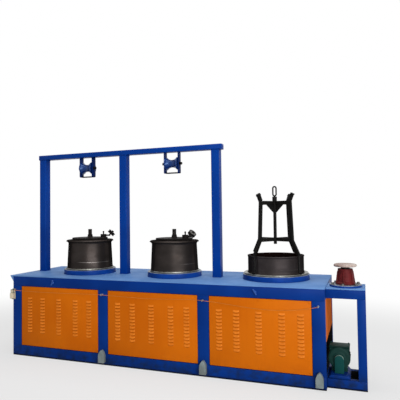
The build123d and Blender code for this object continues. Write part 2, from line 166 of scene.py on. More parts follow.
def turnedPiece(name, corners, place, mats, sides=112, steps=4):  # the closed outline, turned about Z
    outline = softCorners(corners, steps)
    bm = bmesh.new()
    rings = []
    for r, z, _ in outline:
        spots = ringPoints(r, sides) if r > 1e-6 else [(0, 0)]
        rings.append([bm.verts.new((x, y, z)) for x, y in spots])
    last = len(rings) if len(rings[0]) > 1 else len(rings) - 1
    for i in range(last):
        low, high = rings[i], rings[(i + 1) % len(rings)]
        for k in range(sides):
            n = k + 1
            corner = [low[k % len(low)], low[n % len(low)], high[n % len(high)], high[k % len(high)]]
            kept = list(dict.fromkeys(corner))  # three corners at a pole
            if len(kept) > 2:
                bm.faces.new(kept).material_index = outline[i][2]
    bmesh.ops.remove_doubles(bm, verts=bm.verts, dist=1e-6)
    bmesh.ops.recalc_face_normals(bm, faces=bm.faces)
    bm.transform(place)
    piece = meshPiece(name, bm, *mats)
    shadeByAngle(piece, 30)
    return piece


def turnedNode(name, node, corners, mats, place=None, **count):  # turned piece that stands for a node
    piece = turnedPiece(name, corners, place or standOn(node), mats, **count)
    settle(piece, bodyOf[node], slotOf[node], node)


def roundedCopy(node, width, *mats, steps=2, limit=25, pick=None):  # the node's own shape, edges softened
    bm = bmesh.new()
    bm.from_mesh(frame["nodes"][node].data)
    bmesh.ops.remove_doubles(bm, verts=bm.verts, dist=1e-5)
    if width:
        bmesh.ops.dissolve_limit(bm, angle_limit=math.radians(1), verts=bm.verts, edges=bm.edges)
        sharp = math.radians(limit)
        hard = [e for e in bm.edges if len(e.link_faces) == 2 and e.calc_face_angle() > sharp]
        bmesh.ops.bevel(bm, geom=hard, offset=width, segments=steps, profile=0.5, affect="EDGES",
                        clamp_overlap=True)
    bm.normal_update()
    for face in bm.faces:
        face.material_index = 1 if pick and pick(face) else 0
    piece = meshPiece(node + "_shape", bm, *mats)
    shadeByAngle(piece)
    settle(piece, bodyOf[node], slotOf[node], node)


def addBlock(bm, low, high, soft=0.0, mat=0, steps=2):
    low, high = Vector(low), Vector(high)
    made = bmesh.ops.create_cube(bm, size=1)["verts"]
    for v in made:
        v.co = Vector((v.co[i] * (high[i] - low[i]) + (low[i] + high[i]) / 2 for i in range(3)))
    faces = {f for v in made for f in v.link_faces}
    if soft:
        edges = list({e for v in made for e in v.link_edges})
        done = bmesh.ops.bevel(bm, geom=edges, offset=soft, segments=steps, profile=0.5, affect="EDGES")
        faces = set(done["faces"]) | {f for f in faces if f.is_valid}
    for f in faces:
        f.material_index = mat


def addRod(bm, start, end, radius, sides=20, soft=0.001, mat=0):  # straight bar with broken edges
    start, end = Vector(start), Vector(end)
    place = Matrix.Translation(start) @ (end - start).to_track_quat("Z", "Y").to_matrix().to_4x4()
    length = (end - start).length
    rows = [(radius - soft, 0), (radius, soft), (radius, length - soft), (radius - soft, length)]
    rings = [[bm.verts.new(place @ Vector((x, y, z))) for x, y in ringPoints(r, sides)] for r, z in rows]
    faces = [bm.faces.new(rings[0][::-1]), bm.faces.new(rings[-1])]
    for low, high in zip(rings, rings[1:]):
        for k in range(sides):
            n = (k + 1) % sides
            faces.append(bm.faces.new((low[k], low[n], high[n], high[k])))
    for f in faces:
        f.material_index = mat


def addTube(bm, path, radius, sides=12, closed=False):  # round bar along a list of points
    path = [Vector(p) for p in path]
    rings = []
    normal = None
    for i, p in enumerate(path):
        ahead = path[(i + 1) % len(path)] if closed or i < len(path) - 1 else p
        behind = path[i - 1] if closed or i else p
        along = (ahead - behind).normalized()
        normal = normal or along.orthogonal().normalized()
        normal = (normal - along * normal.dot(along)).normalized()
        other = along.cross(normal)
        rings.append([bm.verts.new(p + x * normal + y * other) for x, y in ringPoints(radius, sides)])
    for low, high in zip(rings, rings[1:] + rings[:1] if closed else rings[1:]):
        shift = 0
        if high is rings[0]:  # the frame may have turned on its way round
            shift = min(range(sides), key=lambda n: (low[0].co - high[n].co).length)
        for k in range(sides):
            n = k + 1
            bm.faces.new((low[k], low[n % sides], high[(n + shift) % sides], high[(k + shift) % sides]))
    if not closed:
        bm.faces.new(rings[0][::-1])
        bm.faces.new(rings[-1])


# shader groups shared by the finishes
class Wiring:  # short hands for placing and linking nodes
    def __init__(self, tree):
        self.tree = tree

    def feed(self, socket, value):
        if isinstance(value, bpy.types.NodeSocket):
            self.tree.links.new(value, socket)
        else:
            socket.default_value = value

    def node(self, kind, feeds=None, **settings):
        made = self.tree.nodes.new(kind)
        for key, value in settings.items():
            setattr(made, key, value)
        for key, value in (feeds or {}).items():
            self.feed(made.inputs[key], value)
        return made

    def first(self, kind, feeds=None, **settings):  # a node's first output
        return self.node(kind, feeds, **settings).outputs[0]

    def math(self, operation, *values, clamp=False):
        return self.first("ShaderNodeMath", dict(enumerate(values)), operation=operation, use_clamp=clamp)

    def times(self, *values):
        made = values[0]
        for value in values[1:]:
            made = self.math("MULTIPLY", made, value)
        return made

    def ramp(self, value, low, high, outLow=0.0, outHigh=1.0):
        feeds = dict(enumerate((value, low, high, outLow, outHigh)))
        return self.first("ShaderNodeMapRange", feeds, interpolation_type="SMOOTHSTEP")

    def place(self, scale=(1, 1, 1)):  # the piece's own coordinates
        coord = self.node("ShaderNodeTexCoord").outputs["Object"]
        return self.first("ShaderNodeMapping", {"Vector": coord, "Scale": scale})

    def split(self, vector):
        return self.node("ShaderNodeSeparateXYZ", {0: vector}).outputs

    def noise(self, vector, scale, detail=3.0, rough=0.55):
        feeds = {"Vector": vector, "Scale": scale, "Detail": detail, "Roughness": rough}
        return self.node("ShaderNodeTexNoise", feeds).outputs["Fac"]

    def mix(self, factor, a, b):
        a, b = (c if isinstance(c, bpy.types.NodeSocket) else (*c, 1) for c in (a, b))
        return self.node("ShaderNodeMix", {0: factor, 6: a, 7: b}, data_type="RGBA").outputs[2]

    def group(self, tree, **values):
        return self.node("ShaderNodeGroup", values, node_tree=tree).outputs


def newGroup(name, inputs, outputs):
    group = bpy.data.node_groups.new(name, "ShaderNodeTree")
    for label, value in inputs.items():
        made = group.interface.new_socket(label, in_out="INPUT", socket_type="NodeSocketFloat")
        made.default_value = value
    for label in outputs:
        group.interface.new_socket(label, in_out="OUTPUT", socket_type="NodeSocketFloat")
    given, out = group.nodes.new("NodeGroupInput").outputs, group.nodes.new("NodeGroupOutput").inputs
    return group, Wiring(group), given, out


def makeEdgeWear():
    group, w, given, out = newGroup("edgeWear", {"Reach": 0.004, "Patch": 40.0, "Cover": 0.5}, ["Mask"])
    bevel = w.first("ShaderNodeBevel", {"Radius": given["Reach"]}, samples=4)
    normal = w.node("ShaderNodeNewGeometry").outputs["Normal"]
    same = w.node("ShaderNodeVectorMath", {0: bevel, 1: normal}, operation="DOT_PRODUCT").outputs["Value"]
    edge = w.ramp(w.math("SUBTRACT", 1.0, same), 0.03, 0.2)
    patch = w.noise(w.place(), given["Patch"], 5.0, 0.65)
    low = w.math("SUBTRACT", 0.86, w.times(given["Cover"], 0.6))
    w.feed(out["Mask"], w.times(edge, w.ramp(patch, low, w.math("ADD", low, 0.12))))
    return group


def makePaintSkin():
    group, w, given, out = newGroup("paintSkin", {"Cloud": 2.5, "Grain": 420.0}, ["Tone", "Streak", "Peel"])
    w.feed(out["Tone"], w.ramp(w.noise(w.place(), given["Cloud"], 4.0, 0.5), 0.3, 0.7))
    w.feed(out["Streak"], w.ramp(w.noise(w.place((9, 9, 0.7)), 3.0, 4.0, 0.6), 0.52, 0.78))
    w.feed(out["Peel"], w.noise(w.place(), given["Grain"], 2.0, 0.5))
    return group


def makeFloorDustAndShadow():
    group, w, given, out = newGroup("floorDustAndShadow", {"Top": 0.35, "Strength": 0.5}, ["Mask", "FloorShadow"])
    height = w.split(w.place())["Z"]
    rise = w.ramp(height, 0.0, given["Top"], 1.0, 0.0)
    patch = w.ramp(w.noise(w.place(), 14.0, 5.0, 0.65), 0.35, 0.7)
    w.feed(out["Mask"], w.math("MULTIPLY", w.times(rise, patch), given["Strength"], clamp=True))
    # the second output paints shadow in the lowest few centimetres, where the piece meets the floor
    w.feed(out["FloorShadow"], w.ramp(w.math("ADD", height, w.times(patch, 0.008)), 0.01, 0.026, 1.0, 0.0))
    return group


def makeCastGrain():
    group, w, given, out = newGroup("castGrain", {"Pit": 260.0, "Patch": 9.0}, ["Rust", "Tone", "Pits"])
    w.feed(out["Rust"], w.ramp(w.noise(w.place(), given["Patch"], 6.0, 0.68), 0.5, 0.74))
    w.feed(out["Tone"], w.ramp(w.noise(w.place((1, 1, 2.2)), 4.0, 3.0, 0.5), 0.3, 0.7))
    fine, coarse = w.noise(w.place(), given["Pit"], 3.0, 0.6), w.noise(w.place(), 60.0, 3.0, 0.6)
    w.feed(out["Pits"], w.math("ADD", fine, w.times(coarse, 0.8)))
    return group


def makeTurnedLines():
    group, w, given, out = newGroup("turnedLines", {"Fine": 900.0}, ["Lines", "Smear"])
    w.feed(out["Lines"], w.noise(w.place((0.02, 0.02, 1)), given["Fine"], 2.0, 0.7))
    w.feed(out["Smear"], w.ramp(w.noise(w.place((6, 6, 14)), 2.0, 5.0, 0.65), 0.35, 0.7))
    return group


edgeWear, paintSkin, floorDustAndShadow = makeEdgeWear(), makePaintSkin(), makeFloorDustAndShadow()
castGrain, turnedLines = makeCastGrain(), makeTurnedLines()


def startFinish(name):
    mat = bpy.data.materials.new(name)
    mat.use_nodes = True
    return mat, Wiring(mat.node_tree), mat.node_tree.nodes["Principled BSDF"]


def endFinish(w, shader, height, bump, depth, sockets):  # fills the shader's sockets
    feeds = {"Strength": bump, "Distance": depth, "Height": height}
    sockets["Normal"] = w.first("ShaderNodeBump", feeds)
    for label, value in sockets.items():
        w.feed(shader.inputs[label], value)


paintDefaults = dict(
    gloss=0.12, sheen=(1, 1, 1), cloud=2.5, grain=420.0, peel=0.06, peelDepth=0.0006, streak=0.15,
    wearReach=0.004, wearPatch=38.0, wearCover=0.4, bare=(0.32, 0.31, 0.3),
    dust=0.0, dustTop=0.3, dustColour=(0.2, 0.17, 0.14), floorShadow=0.0, floorShadowColour=(0.003, 0.003, 0.004))


def paintFinish(name, values):  # brushed or sprayed enamel with worn edges, streaks, floor dust and a painted shadow along the floor
    s = {**paintDefaults, "streakColour": values["dark"], **values}
    mat, w, shader = startFinish(name)
    skin = w.group(paintSkin, Cloud=s["cloud"], Grain=s["grain"])
    wear = w.group(edgeWear, Reach=s["wearReach"], Patch=s["wearPatch"], Cover=s["wearCover"])["Mask"]
    dust = w.group(floorDustAndShadow, Top=s["dustTop"], Strength=s["dust"])
    shade = w.mix(skin["Tone"], s["dark"], s["colour"])
    shade = w.mix(w.times(skin["Streak"], s["streak"]), shade, s["streakColour"])
    shade = w.mix(dust["Mask"], shade, s["dustColour"])
    # painted shadow along the floor
    shade = w.mix(w.times(dust["FloorShadow"], s["floorShadow"]), shade, s["floorShadowColour"])
    rough = w.ramp(skin["Tone"], 0, 1, s["rough"] + 0.06, s["rough"] - 0.04)
    endFinish(w, shader, skin["Peel"], s["peel"], s["peelDepth"], {
        "Base Color": w.mix(wear, shade, s["bare"]),
        "Roughness": w.math("ADD", rough, w.times(dust["Mask"], 0.3), clamp=True),
        "Specular IOR Level": s["gloss"], "Specular Tint": (*s["sheen"], 1)})
    return mat


ironDefaults = dict(
    gloss=0.12, edgeTint=(1, 1, 1), metal=0.0, pit=260.0, patch=9.0, bump=0.16, bumpDepth=0.0012,
    wearReach=0.003, wearPatch=60.0, wearCover=0.6, rubbedMetal=0.4, scuffs=())


def rubMarks(w, scuffs, mask):  # where the wire has run: height, half width, strength, first and last x
    spot = w.split(w.place())
    waver = w.times(w.math("SUBTRACT", w.noise(w.place((1, 1, 0.3)), 5.0, 2.0), 0.5), 0.014)
    level = w.math("ADD", spot["Z"], waver)
    broken = w.ramp(w.noise(w.place((1, 1, 12)), 7.0, 5.0, 0.6), 0.42, 0.6)
    for middle, half, strength, first, last in scuffs:
        away = w.math("ABSOLUTE", w.math("SUBTRACT", level, middle))
        starts = w.ramp(spot["X"], first - 0.04, first + 0.04)
        ends = w.ramp(spot["X"], last, last + 0.02, 1.0, 0.0)
        band = w.times(w.ramp(away, half * 0.3, half, 1.0, 0.0), broken, w.times(starts, ends))
        mask = w.math("MAXIMUM", mask, w.times(band, strength))
    return mask


def ironFinish(name, values):  # dark cast iron, oiled and rubbed by the wire
    s = {**ironDefaults, **values}
    mat, w, shader = startFinish(name)
    grain = w.group(castGrain, Pit=s["pit"], Patch=s["patch"])
    mask = w.group(edgeWear, Reach=s["wearReach"], Patch=s["wearPatch"], Cover=s["wearCover"])["Mask"]
    if s["scuffs"]:
        mask = rubMarks(w, s["scuffs"], mask)
    shade = w.mix(grain["Tone"], s["dark"], s["colour"])
    shade = w.mix(w.times(grain["Rust"], s["rust"]), shade, s["rustColour"])
    endFinish(w, shader, grain["Pits"], s["bump"], s["bumpDepth"], {
        "Base Color": w.mix(mask, shade, s["bare"]),
        "Roughness": w.ramp(grain["Tone"], 0, 1, s["rough"] + 0.08, s["rough"] - 0.05),
        "Metallic": w.math("ADD", s["metal"], w.times(mask, s["rubbedMetal"]), clamp=True),
        "Specular IOR Level": s["gloss"], "Specular Tint": (*s["edgeTint"], 1)})
    return mat


steelDefaults = dict(metal=0.9, edgeTint=(1, 1, 1), fine=900.0, bump=0.08, bumpDepth=0.0005)


def steelFinish(name, values):  # turned steel with tool lines and smears
    s = {**steelDefaults, **values}
    mat, w, shader = startFinish(name)
    lines = w.group(turnedLines, Fine=s["fine"])
    endFinish(w, shader, lines["Lines"], s["bump"], s["bumpDepth"], {
        "Base Color": w.mix(lines["Smear"], s["dark"], s["colour"]),
        "Roughness": w.ramp(lines["Lines"], 0.25, 0.75, s["rough"] - 0.07, s["rough"] + 0.1),
        "Metallic": s["metal"], "Specular Tint": (*s["edgeTint"], 1)})
    return mat


# frame blue: darker towards the bottom, with a painted shadow along the floor
bluePaint = paintFinish("bluePaint", dict(
    colour=(0.002, 0.0285, 0.185), dark=(0.0015, 0.0215, 0.148), rough=0.4, gloss=0.035, wearCover=0.3,
    streak=0.14, bare=(0.06, 0.11, 0.25), dust=0.95, dustTop=0.22, dustColour=(0.006, 0.014, 0.04), floorShadow=0.95))
postBlue = paintFinish("postBlue", dict(
    colour=(0.001, 0.035, 0.23), dark=(0.001, 0.027, 0.185), rough=0.36, gloss=0.05, wearCover=0.3,
    streak=0.14, bare=(0.06, 0.12, 0.28)))
# far lighter than the frame's blue: painted reflection of the overhead light on the top plates
litPlateBlue = paintFinish("litPlateBlue", dict(
    colour=(0.112, 0.228, 0.47), dark=(0.088, 0.188, 0.405), rough=0.5, gloss=0.03, cloud=4.0,
    wearCover=0.35, streak=0.2, streakColour=(0.05, 0.13, 0.32), bare=(0.16, 0.25, 0.42)))
seatBlue = paintFinish("seatBlue", dict(
    colour=(0.004, 0.042, 0.24), dark=(0.002, 0.028, 0.17), rough=0.36, gloss=0.05, cloud=7.0,
    streak=0.3, streakColour=(0.002, 0.02, 0.1), bare=(0.16, 0.2, 0.3)))
rollerBlue = paintFinish("rollerBlue", dict(
    colour=(0.001, 0.02, 0.135), dark=(0.0005, 0.009, 0.065), rough=0.22, gloss=0.6, sheen=(0.38, 0.6, 1.0),
    bare=(0.06, 0.1, 0.2)))
# darker than the frame's blue: painted shade on the bracket plates
shadedBracketBlue = paintFinish("shadedBracketBlue", dict(
    colour=(0.001, 0.015, 0.105), dark=(0.001, 0.009, 0.06), rough=0.4, gloss=0.03, wearCover=0.3,
    bare=(0.03, 0.06, 0.17)))
latchBlue = paintFinish("latchBlue", dict(
    colour=(0.035, 0.1, 0.35), dark=(0.02, 0.07, 0.27), rough=0.36, gloss=0.08, wearCover=0.5,
    bare=(0.2, 0.28, 0.45)))
# the lighter orange on its worn edges is partly wear, partly a painted highlight along the panels' edges
orangePaint = paintFinish("orangePaint", dict(
    colour=(0.52, 0.12, 0.003), dark=(0.46, 0.096, 0.002), rough=0.42, gloss=0.03, cloud=1.6, wearCover=0.25,
    streak=0.2, streakColour=(0.38, 0.072, 0.002), bare=(0.62, 0.22, 0.03), dust=0.4,
    dustColour=(0.34, 0.075, 0.006)))
# lighter than the sheets' orange: a painted highlight on the louvre hoods
litHoodOrange = paintFinish("litHoodOrange", dict(
    colour=(0.63, 0.176, 0.015), dark=(0.55, 0.142, 0.01), rough=0.38, gloss=0.06, cloud=9.0,
    bare=(0.75, 0.33, 0.08)))
# dark orange strip under each louvre: painted shadow of the hood's lip
louvreShadow = paintFinish("louvreShadow", dict(
    colour=(0.29, 0.058, 0.001), dark=(0.22, 0.042, 0.001), rough=0.6, gloss=0.02, cloud=18.0,
    bare=(0.3, 0.07, 0.01)))
# lighter than the front sheets' orange: painted light on the right end sheet
litEndOrange = paintFinish("litEndOrange", dict(
    colour=(0.66, 0.154, 0.03), dark=(0.59, 0.13, 0.024), rough=0.6, gloss=0.0, cloud=2.0, wearCover=0.25,
    streak=0.3, streakColour=(0.4, 0.08, 0.01), bare=(0.6, 0.2, 0.05)))
# near-black: painted shade inside the cabinet, in the panel gaps and on the table's inner sides; also the keeper
# rods' own black
blackAndPaintedShade = paintFinish("blackAndPaintedShade", dict(
    colour=(0.006, 0.0065, 0.008), dark=(0.003, 0.003, 0.0035), rough=0.7, gloss=0.03, wearCover=0.1,
    bare=(0.02, 0.018, 0.016)))
blackPaint = paintFinish("blackPaint", dict(
    colour=(0.0045, 0.004, 0.0035), dark=(0.002, 0.002, 0.002), rough=0.42, gloss=0.07, peel=0.16,
    wearReach=0.003, wearCover=0.5, streak=0.35, streakColour=(0.014, 0.008, 0.005), bare=(0.05, 0.036, 0.026)))
greenPaint = paintFinish("greenPaint", dict(
    colour=(0.0065, 0.044, 0.036), dark=(0.004, 0.026, 0.022), rough=0.45, gloss=0.09,
    bare=(0.1, 0.13, 0.12), dust=0.5, dustTop=0.45, dustColour=(0.02, 0.03, 0.026)))
pedestalGreen = paintFinish("pedestalGreen", dict(
    colour=(0.006, 0.06, 0.056), dark=(0.004, 0.042, 0.039), rough=0.45, gloss=0.05, bare=(0.1, 0.14, 0.13)))
boxGreen = paintFinish("boxGreen", dict(
    colour=(0.0045, 0.026, 0.0225), dark=(0.003, 0.016, 0.014), rough=0.45, gloss=0.05, bare=(0.07, 0.1, 0.09)))
# pale green for the pedestal's crown band
crownPaleGreen = paintFinish("crownPaleGreen", dict(
    colour=(0.22, 0.29, 0.26), dark=(0.06, 0.12, 0.1), rough=0.45, cloud=30.0, bare=(0.4, 0.45, 0.42)))
# the foot covers' grey carries a painted shadow along the floor
greyPaint = paintFinish("greyPaint", dict(
    colour=(0.18, 0.218, 0.22), dark=(0.13, 0.157, 0.157), rough=0.4, cloud=12.0, wearReach=0.007, wearCover=0.7,
    bare=(0.62, 0.65, 0.62), dust=0.6, dustTop=0.14, dustColour=(0.1, 0.1, 0.085), floorShadow=0.8))
redCasting = paintFinish("redCasting", dict(
    colour=(0.11, 0.011, 0.012), dark=(0.055, 0.007, 0.008), rough=0.5, gloss=0.06, cloud=14.0, grain=160.0,
    peel=0.3, wearReach=0.006, wearCover=0.55, streak=0.5, streakColour=(0.035, 0.01, 0.009),
    bare=(0.08, 0.05, 0.04)))
beigePlastic = paintFinish("beigePlastic", dict(
    colour=(0.6, 0.52, 0.38), dark=(0.5, 0.43, 0.31), rough=0.5, cloud=20.0, wearCover=0.2, bare=(0.66, 0.6, 0.48)))
switchGreen = paintFinish("switchGreen", dict(
    colour=(0.06, 0.095, 0.075), dark=(0.03, 0.055, 0.045), rough=0.45, cloud=20.0))
drumIron = ironFinish("drumIron", dict(
    colour=(0.034, 0.0285, 0.0265), dark=(0.022, 0.0185, 0.017), rough=0.345, gloss=0.0, metal=0.58,
    edgeTint=(0, 0, 0), rust=0.35, rustColour=(0.02, 0.0135, 0.011), wearCover=0.35, bare=(0.2, 0.185, 0.175),
    bump=0.1, scuffs=[(0.993, 0.0035, 0.7, -1.1, -0.86), (0.997, 0.003, 0.6, 0.09, 0.17)]))
blockIron = ironFinish("blockIron", dict(
    colour=(0.038, 0.032, 0.032), dark=(0.025, 0.021, 0.021), rough=0.35, gloss=0.0, metal=0.58,
    edgeTint=(0, 0, 0), rust=0.35, rustColour=(0.02, 0.0135, 0.012), wearCover=0.35, bare=(0.18, 0.165, 0.16),
    bump=0.1, scuffs=[(0.968, 0.0025, 0.3, 0.9, 1.3)]))
bowlIron = ironFinish("bowlIron", dict(
    colour=(0.009, 0.0045, 0.004), dark=(0.004, 0.0022, 0.002), rough=0.6, gloss=0.0, rust=0.5,
    rustColour=(0.016, 0.006, 0.005), bare=(0.03, 0.02, 0.018)))
darkIron = ironFinish("darkIron", dict(
    colour=(0.014, 0.0115, 0.011), dark=(0.007, 0.006, 0.0058), rough=0.5, gloss=0.02, rust=0.35,
    rustColour=(0.02, 0.013, 0.01), wearCover=0.45, bare=(0.08, 0.075, 0.07)))
wornDisc = ironFinish("wornDisc", dict(
    colour=(0.52, 0.45, 0.4), dark=(0.27, 0.19, 0.17), rough=0.5, rust=1.0, rustColour=(0.12, 0.055, 0.035),
    pit=180.0, patch=15.0, wearCover=0.8, bare=(0.62, 0.58, 0.52)))
bareSteel = steelFinish("bareSteel", dict(colour=(0.4, 0.43, 0.46), dark=(0.17, 0.18, 0.19), rough=0.34))
ringSteel = steelFinish("ringSteel", dict(colour=(0.3, 0.3, 0.275), dark=(0.13, 0.127, 0.112), rough=0.36))
seatSteel = steelFinish("seatSteel", dict(
    colour=(0.2, 0.235, 0.27), dark=(0.09, 0.11, 0.15), rough=0.4, metal=0.4))
wireSteel = steelFinish("wireSteel", dict(
    colour=(0.55, 0.18, 0.03), dark=(0.44, 0.14, 0.02), rough=0.55, metal=0.0, edgeTint=(0, 0, 0)))
darkSteel = steelFinish("darkSteel", dict(
    colour=(0.017, 0.0145, 0.014), dark=(0.008, 0.007, 0.007), rough=0.45, metal=0.6, edgeTint=(0, 0, 0)))
rimSteel = steelFinish("rimSteel", dict(
    colour=(0.13, 0.125, 0.115), dark=(0.05, 0.047, 0.043), rough=0.4, metal=0.5))
boltSteel = steelFinish("boltSteel", dict(colour=(0.2, 0.2, 0.19), dark=(0.08, 0.075, 0.07), rough=0.38))
print("finishes made")


# geometry node trees for what repeats
def newTree(name, sizes):
    tree = bpy.data.node_groups.new(name, "GeometryNodeTree")
    tree.interface.new_socket("Geometry", in_out="INPUT", socket_type="NodeSocketGeometry")
    keys = {}
    for label, value in [*sizes.items(), ("Finish", None)]:
        kind = {int: "Int", float: "Float"}.get(type(value), "Material")
        socket = tree.interface.new_socket(label, in_out="INPUT", socket_type="NodeSocket" + kind)
        if value is not None:
            socket.default_value = value
        keys[label] = socket.identifier
    tree.interface.new_socket("Geometry", in_out="OUTPUT", socket_type="NodeSocketGeometry")
    return (tree, keys), Wiring(tree), tree.nodes.new("NodeGroupInput").outputs


def closeTree(w, given, points, shape, **spread):  # copies made real, with their finish
    copies = w.first("GeometryNodeInstanceOnPoints", {"Points": points, "Instance": shape, **spread})
    real = w.first("GeometryNodeRealizeInstances", {0: copies})
    done = w.first("GeometryNodeSetMaterial", {"Geometry": real, "Material": given["Finish"]})
    w.node("NodeGroupOutput", {"Geometry": done})


def attribute(w, name):
    made = w.node("GeometryNodeInputNamedAttribute", {"Name": name}, data_type="FLOAT_VECTOR")
    return made.outputs["Attribute"]


def louvreTree():  # pressed hoods, open below, on spots that carry their turn
    made, w, given = newTree("louvreHoods", {
        "Hood Width": 0.058, "Hood Height": 0.02, "Hood Depth": 0.009, "Bow": 0.004})
    grid = w.first("GeometryNodeMeshGrid", {
        "Size X": given["Hood Width"], "Size Y": given["Hood Height"], "Vertices X": 9, "Vertices Y": 6})
    place = w.split(w.first("GeometryNodeInputPosition"))
    across = w.math("ABSOLUTE", w.math("DIVIDE", place["X"], w.times(given["Hood Width"], 0.5)))
    down = w.math("SUBTRACT", 0.5, w.math("DIVIDE", place["Y"], given["Hood Height"]))
    ends = w.math("SQRT", w.math("SUBTRACT", 1.0, w.math("POWER", across, 2.4), clamp=True))
    swell = w.math("POWER", down, 1.7)
    rise = w.times(ends, swell, given["Hood Depth"])
    bow = w.times(w.math("POWER", across, 2.0), given["Bow"])
    lift = w.first("ShaderNodeCombineXYZ", {"Y": bow, "Z": rise})
    hood = w.first("GeometryNodeSetPosition", {"Geometry": grid, "Offset": lift})
    smooth = w.first("GeometryNodeSetShadeSmooth", {"Geometry": hood})
    turn = w.first("FunctionNodeEulerToRotation", {0: attribute(w, "turn")})
    closeTree(w, given, given["Geometry"], smooth, Rotation=turn)
    return made


def boltTree():  # hexagon head on a washer, standing along each spot's facing
    made, w, given = newTree("hexBolts", {
        "Head Radius": 0.009, "Head Height": 0.007, "Washer Radius": 0.012, "Washer Height": 0.002})
    joined = w.node("GeometryNodeJoinGeometry")
    for sides, part in ((20, "Washer"), (6, "Head")):
        radius, height = given[part + " Radius"], given[part + " Height"]
        drum = w.first("GeometryNodeMeshCylinder", {"Vertices": sides, "Radius": radius, "Depth": height})
        middle = w.times(height, 0.5)
        if part == "Head":
            middle = w.math("ADD", middle, given["Washer Height"])
        lift = w.first("ShaderNodeCombineXYZ", {"Z": middle})
        w.feed(joined.inputs[0], w.first("GeometryNodeTransform", {"Geometry": drum, "Translation": lift}))
    turn = w.first("FunctionNodeAlignRotationToVector", {"Vector": attribute(w, "facing")}, axis="Z")
    closeTree(w, given, given["Geometry"], joined.outputs[0], Rotation=turn)
    return made


def weldTree():  # uneven beads along a path
    made, w, given = newTree("weldBeads", {"Bead Radius": 0.004, "Bead Spacing": 0.0055, "Seed": 7})
    curve = w.first("GeometryNodeMeshToCurve", {0: given["Geometry"]})
    points = w.node("GeometryNodeCurveToPoints", {"Curve": curve, "Length": given["Bead Spacing"]}, mode="LENGTH")
    ball = w.first("GeometryNodeMeshIcoSphere", {"Radius": given["Bead Radius"], "Subdivisions": 2})
    smooth = w.first("GeometryNodeSetShadeSmooth", {"Geometry": ball})
    size = w.node("FunctionNodeRandomValue", {2: 0.8, 3: 1.15, "Seed": given["Seed"]}, data_type="FLOAT")
    closeTree(w, given, points.outputs["Points"], smooth, Scale=size.outputs[1])
    return made


def finTree():  # cooling fins round a body, their length along its axis
    made, w, given = newTree("motorFins", {
        "Fin Count": 26, "Body Radius": 0.082, "Fin Rise": 0.011, "Fin Thickness": 0.0035, "Fin Length": 0.14})
    ring = w.first("GeometryNodeMeshCircle", {"Vertices": given["Fin Count"], "Radius": given["Body Radius"]})
    size = w.first("ShaderNodeCombineXYZ", {
        "X": given["Fin Thickness"], "Y": given["Fin Length"], "Z": w.times(given["Fin Rise"], 2.0)})
    fin = w.first("GeometryNodeMeshCube", {"Size": size})
    stand = w.first("GeometryNodeTransform", {"Geometry": fin, "Rotation": (math.radians(90), 0, 0)})
    place = w.first("GeometryNodeInputPosition")
    turn = w.first("FunctionNodeAlignRotationToVector", {"Vector": place}, axis="Y")
    closeTree(w, given, ring, stand, Rotation=turn)
    return made


louvreHoods, hexBolts, weldBeads, motorFins = louvreTree(), boltTree(), weldTree(), finTree()


def grow(name, slotName, treeAndKeys, values, points=((0, 0, 0),), edges=(), vectors=None, place=None):
    tree, keys = treeAndKeys
    mesh = bpy.data.meshes.new(name + "_spots")
    mesh.from_pydata([tuple(p) for p in points], list(edges), [])
    for key, rows in (vectors or {}).items():
        layer = mesh.attributes.new(key, "FLOAT_VECTOR", "POINT")
        for i, row in enumerate(rows):
            layer.data[i].vector = row
    seed = linkObject(name + "_spots", mesh)
    modifier = seed.modifiers.new("grow", "NODES")
    modifier.node_group = tree
    for label, value in values.items():
        modifier[keys[label]] = value
    graph = bpy.context.evaluated_depsgraph_get()
    made = bpy.data.meshes.new_from_object(seed.evaluated_get(graph), depsgraph=graph)  # now a plain mesh
    seed.modifiers.remove(modifier)
    bpy.data.objects.remove(seed)
    made.name = name
    if place:
        made.transform(place)
    settle(linkObject(name, made), rootBody, slotName)


def growBolts(name, slotName, sizes, finish, spots, facings):  # sizes: head and washer, radius and height
    labels = ("Head Radius", "Head Height", "Washer Radius", "Washer Height", "Finish")
    grow(name, slotName, hexBolts, dict(zip(labels, (*sizes, finish))), spots, vectors={"facing": facings})


print("trees made")

# cabinet
frameSettings = {"edge": 0.003, "plateEdge": 0.0025, "postEdge": 0.0015,
                 "skin": 0.03, "endSkin": 0.004, "plateUnder": 0.849}  # what lies deeper takes the near-black finish: painted shade inside the cabinet


def insideCabinet(face):  # behind the panels, where the near-black finish paints shade
    s = frameSettings
    spot = face.calc_center_median()
    low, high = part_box("bottom_rails")
    return (low.y + s["skin"] < spot.y < high.y - s["skin"] and spot.z < s["plateUnder"]
            and low.x + s["skin"] < spot.x < high.x - s["endSkin"])


def insideTable(face):  # inner sides of the table's rails, which get painted shade
    spot = face.calc_center_median() - nodeMid("side_table_rails")
    return abs(face.normal.z) < 0.5 and face.normal.x * spot.x + face.normal.y * spot.y < 0


def makeFrame():
    s = frameSettings
    # faces inside the cabinet and on the table rails' inner sides take the near-black finish: painted shade
    for node in ("bottom_rails", "cross_rails", "top_rails", "cabinet_posts"):
        roundedCopy(node, s["edge"], bluePaint, blackAndPaintedShade, pick=insideCabinet)
    roundedCopy("side_table_rails", s["edge"], bluePaint, blackAndPaintedShade, pick=insideTable)
    roundedCopy("side_table_posts", s["edge"], bluePaint)
    # both tops take the lighter plate blue: painted reflection
    for node in ("top_plate", "side_table_top"):
        roundedCopy(node, s["plateEdge"], litPlateBlue)
    for node in ("overhead_posts", "overhead_beam"):
        roundedCopy(node, s["postEdge"], postBlue, limit=60)


makeFrame()

